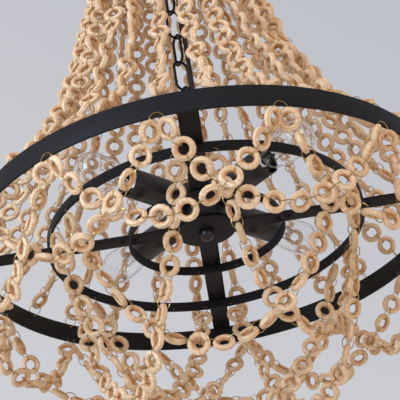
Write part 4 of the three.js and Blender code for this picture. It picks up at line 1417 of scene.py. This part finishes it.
class CHANDELIER_OT_bulbs(bpy.types.Operator):
    """Blows the clear bulbs, with their screw caps, glass mounts and filaments"""

    bl_idname = "chandelier.bulbs"
    bl_label = "Bulbs"

    steps = 64
    cap_tip_radius = 0.004
    cap_cone = 0.0045
    thread_depth = 0.0006
    stem_radius = 0.0024
    flare_radius = 0.0088
    lead_radius = 0.00032
    filament_radius = 0.00022
    cage_start = 0.011
    cage_end = 0.046
    arc_step = 10
    steps_per_span = 4
    support_steps = 3
    support_sides = 4
    lead_sides = 6

    # The cage's narrow end and its low supports, and the bends of the leads, as shares
    inner_cage = 0.8
    low_support = 0.3
    lead_foot = (0.25, 0.2)
    lead_shoulder = 0.7

    # Shares of the way from the neck to the ball, along and out
    neck_shares = ((0, 0), (0.16, 0.14), (0.4, 0.56), (0.68, 0.88))

    # Shares of the flare's or the stem's radius, each at a share of the mount's length
    flare_shares = ((1.0, 0.0), (0.62, 0.1))
    stem_shares = ((1.2, 0.3), (1.0, 0.5))

    # The waist under the button and its rounded top, as shares of the stem's radius
    button_waist = (0.6, 3)
    button_top = 0.7

    def cap_end(self):
        fitting, gap = lamp(), strands().seat_gap
        return fitting.holder_mouth - fitting.cavity_depth + gap + fitting.cap_length

    def cap(self):
        """Screw cap: contact, cone and rolled thread, all in one finish; on a real cap the cone is black glass"""
        fitting = lamp()
        end = self.cap_end()
        tip = end - fitting.cap_length
        start = tip + self.cap_cone
        outline = [(0, tip), (self.cap_tip_radius, tip), (fitting.cap_radius - self.thread_depth, start)]
        turns = int((end - start) / fitting.thread_pitch)
        for i in range(1, 2 * turns):
            depth = self.thread_depth if i % 2 == 0 else 0
            height = start + i * fitting.thread_pitch / 2
            outline.append((fitting.cap_radius - depth - self.thread_depth / 4, height))
        outline += [(fitting.cap_radius - self.thread_depth / 2, end), (self.flare_radius, end), (0, end)]
        return revolve(outline, self.thread_depth / 4, False, self.steps)

    def glass_outline(self):
        """Outer outline of the glass, from its open neck to its tip"""
        fitting, gap = lamp(), strands().seat_gap
        start, centre = self.cap_end() + gap, fitting.bulb_tip - fitting.bulb_radius
        growth = fitting.bulb_radius - fitting.neck_radius
        neck = [
            Vector((fitting.neck_radius + growth * out, start + (centre - start) * along))
            for along, out in self.neck_shares
        ]
        around = [
            Vector((fitting.bulb_radius * math.cos(a), centre + fitting.bulb_radius * math.sin(a)))
            for a in (math.radians(d) for d in range(0, 90, self.arc_step))
        ]
        return smooth_points(neck + around[:2], self.steps_per_span)[:-1] + around[1:]

    def bulb(self):
        tip, wall = lamp().bulb_tip, lamp().bulb_wall
        line = self.glass_outline()
        inner = [(line[0].x - wall, line[0].y)]
        for before, point, after in zip(line, line[1:], line[2:]):
            along = (after - before).normalized()
            inner.append((point.x - along.y * wall, point.y + along.x * wall))
        outline = [*[(p.x, p.y) for p in line], (0, tip), (0, tip - wall), *reversed(inner)]
        return revolve(outline, steps=self.steps)

    def mount(self):
        """Flared glass mount with its button on top"""
        fitting, gap = lamp(), strands().seat_gap
        start, stem = self.cap_end() + gap, self.stem_radius
        top = start + fitting.stem_length
        line = [(self.flare_radius * out, start + fitting.stem_length * up) for out, up in self.flare_shares]
        line += [(stem * out, start + fitting.stem_length * up) for out, up in self.stem_shares]
        waist, below = self.button_waist
        line += [(stem * waist, top - stem * below), (stem, top - stem), (stem * self.button_top, top)]
        smooth = smooth_points([Vector(point) for point in line], self.steps_per_span)
        outline = [(0, start), *[(p.x, p.y) for p in smooth], (0, top)]
        return revolve(outline, closed=False, steps=self.steps // 2)

    def filament(self):
        """A zigzag filament in a cage, on thin supports from the mount"""
        fitting, gap = lamp(), strands().seat_gap
        start = self.cap_end() + gap
        low, high = start + self.cage_start, start + self.cage_end
        parts, zigzag = [], []
        for i in range(fitting.cage_legs):
            turn = i * math.tau / (fitting.cage_legs + 1)
            out = Vector((math.cos(turn), math.sin(turn), 0))
            bent = out * fitting.cage_radius * (self.inner_cage if i % 2 else 1.0)
            point = bent + UP * (low if i % 2 else high)
            zigzag.append(point)
            level = start + fitting.stem_length * (self.low_support if i % 2 else 1.0) - gap
            root = out * self.stem_radius + UP * level
            bend = (root + point) / 2 + UP * (gap * 4)
            if 0 < i < fitting.cage_legs - 1:
                path = smooth_points([root, bend, point], self.support_steps)
                parts.append(wire(path, self.filament_radius, self.support_sides))
        parts.append(wire(zigzag, self.filament_radius, self.lead_sides))
        for end in (zigzag[0], zigzag[-1]):
            near, level = self.lead_foot
            foot = Vector((end.x * near, end.y * near, start + fitting.stem_length * level))
            shoulder = Vector((end.x * self.lead_shoulder, end.y * self.lead_shoulder, low))
            path = smooth_points([foot, shoulder, end], self.steps_per_span)
            parts.append(wire(path, self.lead_radius, self.lead_sides))
        return joined(*parts)

    def execute(self, context):
        for i in range(lamp().lamps):
            which, axis, body = i + 1, lamp_axis(i), f"bulb_{i + 1}"
            cap, cap_node = moved(self.cap(), axis), f"bulb_cap_{which}"
            finish_piece(f"cap_{which}_shell", cap, nickel(), body, "nickel_cap", [cap_node])
            bulb, bulb_node = moved(self.bulb(), axis), f"bulb_glass_{which}"
            finish_piece(f"glass_{which}_ball", bulb, glass(), body, "clear_glass", [bulb_node])
            finish_piece(f"mount_{which}", moved(self.mount(), axis), glass(), body, "clear_glass")
            finish_piece(f"filament_{which}", moved(self.filament(), axis), tungsten(), body, "zinc_steel")
        return {"FINISHED"}


class CHANDELIER_OT_chain(bpy.types.Operator):
    """Bends the chain's links and the eyes that they hang in"""

    bl_idname = "chandelier.chain"
    bl_label = "Chain"

    big_wire = 0.0022
    small_wire = 0.002
    stub_radius = 0.009
    flange_radius = 0.015
    flange_height = 0.006
    stem_length = 0.009
    crown_stub = 0.02
    eye_sink = 0.0015
    neck_radius = 0.0055
    inner_links = 8

    def execute(self, context):
        iron, gap = metal(), strands().seat_gap
        upper, other = iron.chain_turn, iron.chain_turn + math.pi / 2
        for node, turn, carrier in (
            ("ceiling_link_upper", upper, UPPER_LINK),
            ("ceiling_link_lower", other, PENDANT),
        ):
            low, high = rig.box(node)
            link = chain_link((low.z + high.z) / 2, (high.z - low.z) / 2, turn)
            black_piece(f"{node}_wire", link, node, carrier)

        low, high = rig.box("inner_chain")
        half = (high.z - low.z - (self.inner_links - 1) * iron.link_pitch) / 2
        links = [
            chain_link(low.z + half + i * iron.link_pitch, half, upper if i % 2 else other)
            for i in range(self.inner_links)
        ]
        black_piece("inner_chain_links", joined(*links), "inner_chain")

        low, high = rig.box("crown_top_loop")
        eye_z = high.z - iron.big_eye - self.big_wire
        stub_top = eye_z - iron.big_eye - self.big_wire + self.eye_sink
        seat = stub_top - self.crown_stub
        body = revolve([
            (0, low.z), (iron.tube_radius, low.z), (iron.tube_radius, seat), (self.flange_radius, seat),
            (self.flange_radius, seat + self.flange_height), (self.stub_radius, seat + self.flange_height),
            (self.stub_radius, stub_top), (0, stub_top),
        ], iron.edge, False)
        top = carved(body, wire_eye(iron.big_eye, self.big_wire, eye_z, upper), "UNION")
        black_piece("crown_top_eye", top, "crown_top_loop")

        low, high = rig.box("crown_bottom_loop")
        eye_z = low.z + iron.small_eye + self.small_wire
        stub_low = eye_z + iron.small_eye + self.small_wire - self.eye_sink
        hole, bore = iron.tube_radius + gap, high.z - self.stem_length - gap
        body = revolve([
            (0, bore), (hole, bore), (hole, high.z), (self.stub_radius, high.z),
            (self.stub_radius, stub_low), (0, stub_low),
        ], iron.edge, False)
        eye = wire_eye(iron.small_eye, self.small_wire, eye_z, other)
        black_piece("crown_bottom_eye", carved(body, eye, "UNION"), "crown_bottom_loop")

        low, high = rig.box("hub_top_loop")
        eye_z = high.z - iron.small_eye - self.small_wire
        neck_top = eye_z - iron.small_eye - self.small_wire + 2 * self.eye_sink
        neck = rod(self.neck_radius, low.z, neck_top, iron.edge)
        eye = carved(
            wire_eye(iron.small_eye, self.small_wire, eye_z, upper),
            rod(self.neck_radius * 2, low.z - self.stub_radius, low.z),
        )
        black_piece("hub_top_eye", carved(neck, eye, "UNION"), "hub_top_loop")
        return {"FINISHED"}


class CHANDELIER_OT_canopy(bpy.types.Operator):
    """Spins the canopy, its collar, its loop and the cord's grommet"""

    bl_idname = "chandelier.canopy"
    bl_label = "Canopy"

    wall = 0.0012
    flat_radius = 0.038
    rim_height = 0.006
    hole_radius = 0.0135
    loop_radius = 0.012
    loop_rise = 0.012
    loop_drop = 0.010
    grommet_bore = 0.005
    grommet_wall = 0.0012
    grommet_lip = 0.0018
    lip_height = 0.0016
    collar_wall = 0.0042
    flutes = 24
    flute_radius = 0.0009
    arc_steps = 12
    steps = 96
    grommet_steps = 32
    flute_sides = 10

    def at_grommet(self, bm):
        return moved(bm, Matrix.Translation((*cord_settings().at_canopy, 0)))

    def shell(self):
        gap = strands().seat_gap
        rise = CANOPY.top - CANOPY.low - self.rim_height
        spread = CANOPY.radius - self.flat_radius
        outer, inner = [], []
        for i in range(self.arc_steps + 1):
            turn = math.pi / 2 * i / self.arc_steps
            across, up = math.sin(turn), 1 - math.cos(turn)
            outer.append((self.flat_radius + spread * across, CANOPY.low + rise * up))
            inner.insert(0, (
                self.flat_radius + (spread - self.wall) * across,
                CANOPY.low + self.wall + (rise - self.wall) * up,
            ))
        outline = [
            (self.hole_radius, CANOPY.low), *outer, (CANOPY.radius, CANOPY.top),
            (CANOPY.radius - self.wall, CANOPY.top), *inner, (self.hole_radius, CANOPY.low + self.wall),
        ]
        bm = revolve(outline, steps=self.steps)
        neck = self.grommet_bore + self.grommet_wall
        hole = rod(neck + gap, CANOPY.low - self.wall, CANOPY.low + 3 * self.wall)
        return carved(bm, self.at_grommet(hole))

    def grommet(self):
        gap = strands().seat_gap
        neck = self.grommet_bore + self.grommet_wall
        lip = neck + self.grommet_lip
        low, high = CANOPY.low - gap, CANOPY.low + self.wall + gap
        outline = [
            (self.grommet_bore, low - self.lip_height), (lip, low - self.lip_height), (lip, low),
            (neck, low), (neck, high), (lip, high),
            (lip, high + self.lip_height), (self.grommet_bore, high + self.lip_height),
        ]
        return self.at_grommet(revolve(outline, gap, True, self.grommet_steps))

    def collar(self):
        """Ring with a fluted grip"""
        radius, low, high = COLLAR_RING
        bm = band(radius - self.collar_wall, radius, low, high, metal().edge, self.steps)
        tools = []
        for i in range(self.flutes):
            turn = i * math.tau / self.flutes
            tool = rod(self.flute_radius, low - self.wall, high + self.wall, steps=self.flute_sides)
            tools.append(moved(tool, Matrix.Translation(outward(turn) * radius)))
        return carved(bm, joined(*tools))

    def loop(self):
        iron, gap = metal(), strands().seat_gap
        top, low = CANOPY.low + self.loop_rise, CANOPY.low - self.loop_drop
        eye_wire = CHANDELIER_OT_chain.big_wire
        eye_z = low - iron.big_eye - eye_wire + CHANDELIER_OT_chain.eye_sink
        hole = iron.tube_radius + gap
        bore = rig.box("bracket_tube")[0].z - gap
        body = revolve([
            (0, low), (self.loop_radius, low), (self.loop_radius, top), (hole, top), (hole, bore), (0, bore),
        ], iron.edge, False)
        return carved(body, wire_eye(iron.big_eye, eye_wire, eye_z, iron.chain_turn + math.pi / 2), "UNION")

    def execute(self, context):
        black_piece("canopy_cup", self.shell(), "canopy", SHELL)
        finish_piece("grommet_ring", self.grommet(), rubber(), SHELL, "black_rubber", ["cord_grommet"])
        black_piece("collar_ring", self.collar(), "canopy_collar", COLLAR)
        black_piece("canopy_eye", self.loop(), "canopy_loop", CEILING)
        return {"FINISHED"}


class CHANDELIER_OT_hardware(bpy.types.Operator):
    """Gives the frame's small hidden parts their finishes"""

    bl_idname = "chandelier.hardware"
    bl_label = "Hidden hardware"

    def execute(self, context):
        finishes = {
            "ceiling_bracket": steel, "bracket_tube": steel, "hub_tube": steel,
            "canopy_wire_connectors": plastic, "hub_wiring": plastic,
        }
        finishes.update({f"socket_tube_{i + 1}": steel for i in range(lamp().lamps)})
        for name, finish in finishes.items():
            node = frame["nodes"][name]
            node.data.materials.clear()
            node.data.materials.append(finish())
        return {"FINISHED"}


class CHANDELIER_OT_dome(bpy.types.Operator):
    """Strings the dome from the outer ring up to the wire under the crown"""

    bl_idname = "chandelier.dome"
    bl_label = "Dome strands"

    seed = 11
    crown_calm = 0.45
    hanger_steps = 6
    hanger_sides = 12

    def strand(self, made, i):
        strand = strands()
        foot = (OUTER.radius - strand.hook_inset, OUTER.top + strand.seat_gap + strand.hook_length)
        head = (CROWN.radius - strand.hook_inset, CROWN.low - strand.seat_gap - strand.hanger_radius)
        whole = strand.dome_slack * math.hypot(head[0] - foot[0], head[1] - foot[1])
        curve = hanging_curve((-foot[0], foot[1]), (-head[0], head[1]), whole)
        out = outward((i - DOME_PHASE) * math.tau / strand.dome_strands)
        side = Vector((-out.y, out.x, 0))

        def place(at):
            x, z = curve(at * whole)
            return out * -x + UP * z

        def swing(k, rings, at, turn):
            return turn * (1 - self.crown_calm * at)

        rings = round(whole / beads().ring_pitch)
        used = (rings - 1) / (rings - 0.5) if i % 2 else 1.0
        hole = out * foot[0] + UP * (OUTER.top - strand.top_hole)
        hook = out * head[0] + UP * (head[1] + strand.hanger_radius / 2)
        made.string(place, side, rings, (strand.foot_length / whole, used), swing, hole, hook)

    def hanger(self, group):
        """A quarter of the round wire under the crown"""
        strand = strands()
        per_group = strand.dome_strands // strand.dome_groups
        step = math.tau / strand.dome_strands
        radius = CROWN.radius - strand.hook_inset
        end = strand.seat_gap / radius
        steps = self.hanger_steps * per_group
        first = (group * per_group - 1) * step + end
        last = ((group + 1) * per_group - 1) * step - end
        z = CROWN.low - strand.seat_gap - strand.hanger_radius
        points = [outward(first + (last - first) * k / steps) * radius + UP * z for k in range(steps + 1)]
        return wire(points, strand.hanger_radius, self.hanger_sides)

    def execute(self, context):
        strand = strands()
        per_group = strand.dome_strands // strand.dome_groups
        for group in range(strand.dome_groups):
            made = Strands(self.seed + group)
            for i in range(group * per_group, (group + 1) * per_group):
                self.strand(made, i)
            made.finish(f"dome_{group + 1}", [f"dome_strands_{group + 1}"])
            finish_piece(f"crown_wire_{group + 1}", self.hanger(group), coat(), PENDANT, "black_metal")
        return {"FINISHED"}


class CHANDELIER_OT_swags(bpy.types.Operator):
    """Slings the swags from hook to hook under the outer and the middle ring"""

    bl_idname = "chandelier.swags"
    bl_label = "Swags"

    seed = 41
    crossings = (0.25, 0.75)
    crossing_width = 0.075
    hook_turn = math.radians(68)
    sag_shares = (0.84, 1.075, 0.975)
    weave_shares = (-0.4, 1, 1)
    outer_drop = 0.0022

    def swing(self, span_at):
        """Rings lie flat where two strands cross and stand across at a hook"""
        def turned(k, rings, at, turn):
            if k in (0, rings - 1):
                return self.hook_turn
            near = min(abs(span_at(at) - crossing) for crossing in self.crossings) / self.crossing_width
            return turn * (1 - math.exp(-near * near))
        return turned

    def slung(self, made, start, end, sag, inwards, outwards, holes):
        """One swag between two points, bent inwards in its first half and outwards in the other"""
        chord = end - start
        span = chord.length
        whole = sagged_length(span, sag)
        curve = hanging_curve((0, 0), (span, 0), whole)
        chord.normalize()
        side = Vector((chord.y, -chord.x, 0))

        def place(at):
            x, z = curve(at * whole)
            give = (-inwards if 2 * x < span else outwards) * math.sin(math.tau * x / span) ** 2
            point = start + chord * x + side * give
            point.z = start.z + z
            return point

        rings = round(whole / beads().ring_pitch)
        swing = self.swing(lambda at: curve(at * whole)[0] / span)
        made.string(place, side, rings, (0.0, 1.0), swing, *holes)

    def outer(self, first):
        """Every second outer swag"""
        strand = strands()
        step = math.tau / strand.swags
        radius = OUTER.radius - strand.hook_inset
        z = OUTER.low - strand.seat_gap - self.outer_drop
        spread = strand.swag_spread / radius
        made = Strands(self.seed + first)
        for i in range(first, strand.swags, strand.swag_reach):
            turn = (i - HOOK_PHASE) * step
            far = turn + strand.swag_reach * step
            start = outward(turn + spread) * radius + UP * z
            end = outward(far - spread) * radius + UP * z
            apart, level = strand.hook_spread / radius, OUTER.low + strand.low_hole
            holes = [outward(a) * radius + UP * level for a in (turn - apart, far + apart)]
            self.slung(made, start, end, strand.swag_sag, strand.swag_weave, strand.swag_weave, holes)
        return made

    def middle(self, i):
        strand = strands()
        step = math.tau / strand.middle_swags
        radius = MIDDLE.radius - strand.hook_inset
        z = MIDDLE.low - strand.seat_gap - strand.hook_length
        azimuths = (i * step + strand.hook_offset, (i + 2) * step - strand.hook_offset)
        start, end = (outward(a) * radius + UP * z for a in azimuths)
        holes = [outward(a) * radius + UP * (MIDDLE.low + strand.low_hole * NARROW_HOLE) for a in azimuths]
        kinds = len(self.sag_shares)
        sag = MIDDLE.radius * self.sag_shares[i % kinds]
        inwards = strand.swag_weave * self.weave_shares[(i + kinds - 1) % kinds]
        outwards = strand.swag_weave * self.weave_shares[i % kinds]
        made = Strands(self.seed + strand.swags + i)
        self.slung(made, start, end, sag, inwards, outwards, holes)
        return made

    def execute(self, context):
        for first, kind in enumerate(("even", "odd")):
            self.outer(first).finish(f"outer_swags_{kind}", [f"outer_garland_{kind}"])
        for i in range(strands().middle_swags):
            self.middle(i).finish(f"middle_swag_{i + 1}", [f"middle_swag_{i + 1}"])
        return {"FINISHED"}


class CHANDELIER_OT_stage(bpy.types.Operator):
    """Sets the pale floor, the background and the soft lights"""

    bl_idname = "chandelier.stage"
    bl_label = "Stage"

    floor_tones = ((0.62, 0.72, 0.84), (0.66, 0.76, 0.88))
    key_place = (-1.35, -1.55, -0.6)
    fill_place = (1.7, -1.2, -1.3)

    # How much the background's tone changes across, and the heights between which it changes
    sky_slant = 0.6
    sky_range = (0.27, 0.7)

    def floor(self):
        stage = stage_settings()
        bm = bmesh.new()
        matrix = Matrix.Translation((0, 0, stage.floor_height))
        bmesh.ops.create_grid(bm, x_segments=1, y_segments=1, size=stage.floor_size / 2, matrix=matrix)
        mesh = mesh_of("floor", bm)
        mesh.materials.append(mottled(
            "Pale floor", self.floor_tones, scales=(1.5, 60.0), rough=(0.7, 0.85), bump=0.02, depth=0.001
        ))
        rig.stage(placed("floor", mesh))

    def background(self):
        """Pale wall behind the object, and even light from all round"""
        stage = stage_settings()
        world = bpy.data.worlds.new("surroundings")
        bpy.context.scene.world = world
        world.use_nodes = True
        tree = world.node_tree
        tree.nodes.clear()
        place = add(tree, "ShaderNodeTexCoord")
        split = add(tree, "ShaderNodeSeparateXYZ")
        connect(tree, place.outputs["Generated"], split.inputs["Vector"])
        across = add(tree, "ShaderNodeMath", operation="MULTIPLY_ADD")
        connect(tree, split.outputs["X"], across.inputs[0])
        across.inputs[1].default_value = self.sky_slant
        connect(tree, split.outputs["Z"], across.inputs[2])
        height = between(tree, across.outputs[0], self.sky_range)
        seen = add(tree, "ShaderNodeBackground")
        connect(tree, mixed(tree, height, tuple(stage.sky_low), tuple(stage.sky_high)), seen.inputs["Color"])
        around = add(tree, "ShaderNodeBackground")
        around.inputs["Color"].default_value = (*stage.ambient_colour, 1)
        around.inputs["Strength"].default_value = stage.ambient
        path = add(tree, "ShaderNodeLightPath")
        rays = path.outputs["Is Camera Ray"]
        for ray in ("Is Glossy Ray", "Is Transmission Ray"):
            either = add(tree, "ShaderNodeMath", operation="MAXIMUM")
            connect(tree, rays, either.inputs[0])
            connect(tree, path.outputs[ray], either.inputs[1])
            rays = either.outputs[0]
        chosen = add(tree, "ShaderNodeMixShader")
        connect(tree, rays, chosen.inputs[0])
        connect(tree, around.outputs[0], chosen.inputs[1])
        connect(tree, seen.outputs[0], chosen.inputs[2])
        end = add(tree, "ShaderNodeOutputWorld")
        connect(tree, chosen.outputs[0], end.inputs["Surface"])

    def light(self, name, place, size, power, tone):
        data = bpy.data.lights.new(name, "AREA")
        data.shape = "DISK"
        data.size = size
        data.energy = power
        data.color = tone
        target = Vector((0, 0, STRAP_TOP))
        turn = (target - Vector(place)).to_track_quat("-Z", "Y").to_matrix().to_4x4()
        placed(name, data).matrix_world = Matrix.Translation(place) @ turn

    def execute(self, context):
        stage = stage_settings()
        self.floor()
        self.background()
        self.light("key", self.key_place, stage.key_size, stage.key_power, tuple(stage.key_colour))
        self.light("fill", self.fill_place, stage.fill_size, stage.fill_power, tuple(stage.fill_colour))
        context.scene.view_settings.view_transform = "Standard"
        return {"FINISHED"}


class CHANDELIER_PT_panel(bpy.types.Panel):
    """Lists what the chandelier is made of"""

    bl_idname = "CHANDELIER_PT_panel"
    bl_label = "Chandelier"
    bl_space_type = "VIEW_3D"
    bl_region_type = "UI"
    bl_category = "Chandelier"

    def draw(self, context):
        for operator in OPERATORS:
            self.layout.operator(operator.bl_idname)


OPERATORS = (
    CHANDELIER_OT_camera, CHANDELIER_OT_cord, CHANDELIER_OT_rings, CHANDELIER_OT_straps, CHANDELIER_OT_hub,
    CHANDELIER_OT_sockets, CHANDELIER_OT_bulbs, CHANDELIER_OT_chain, CHANDELIER_OT_canopy,
    CHANDELIER_OT_hardware, CHANDELIER_OT_dome, CHANDELIER_OT_swags, CHANDELIER_OT_stage,
)
SETTINGS = {
    "chandelier_beads": BeadSettings,
    "chandelier_strands": StrandSettings,
    "chandelier_metal": MetalSettings,
    "chandelier_lamp": LampSettings,
    "chandelier_cord": CordSettings,
    "chandelier_stage": StageSettings,
}


def register():
    for made in (*SETTINGS.values(), *OPERATORS, CHANDELIER_PT_panel):
        bpy.utils.register_class(made)
    for name, group in SETTINGS.items():
        setattr(bpy.types.Scene, name, PointerProperty(type=group))


def unregister():
    for name in SETTINGS:
        delattr(bpy.types.Scene, name)
    for made in reversed((*SETTINGS.values(), *OPERATORS, CHANDELIER_PT_panel)):
        bpy.utils.unregister_class(made)


def main():
    register()
    for operator in OPERATORS:
        group, name = operator.bl_idname.split(".")
        getattr(getattr(bpy.ops, group), name)()
    sizes = {"cad": [list(corner) for corner in CAD_BOX], "visual": [list(corner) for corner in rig.bounds()]}
    with open(SIZE_FILE, "w") as file:
        json.dump(sizes, file)


if __name__ == "__main__":
    main()
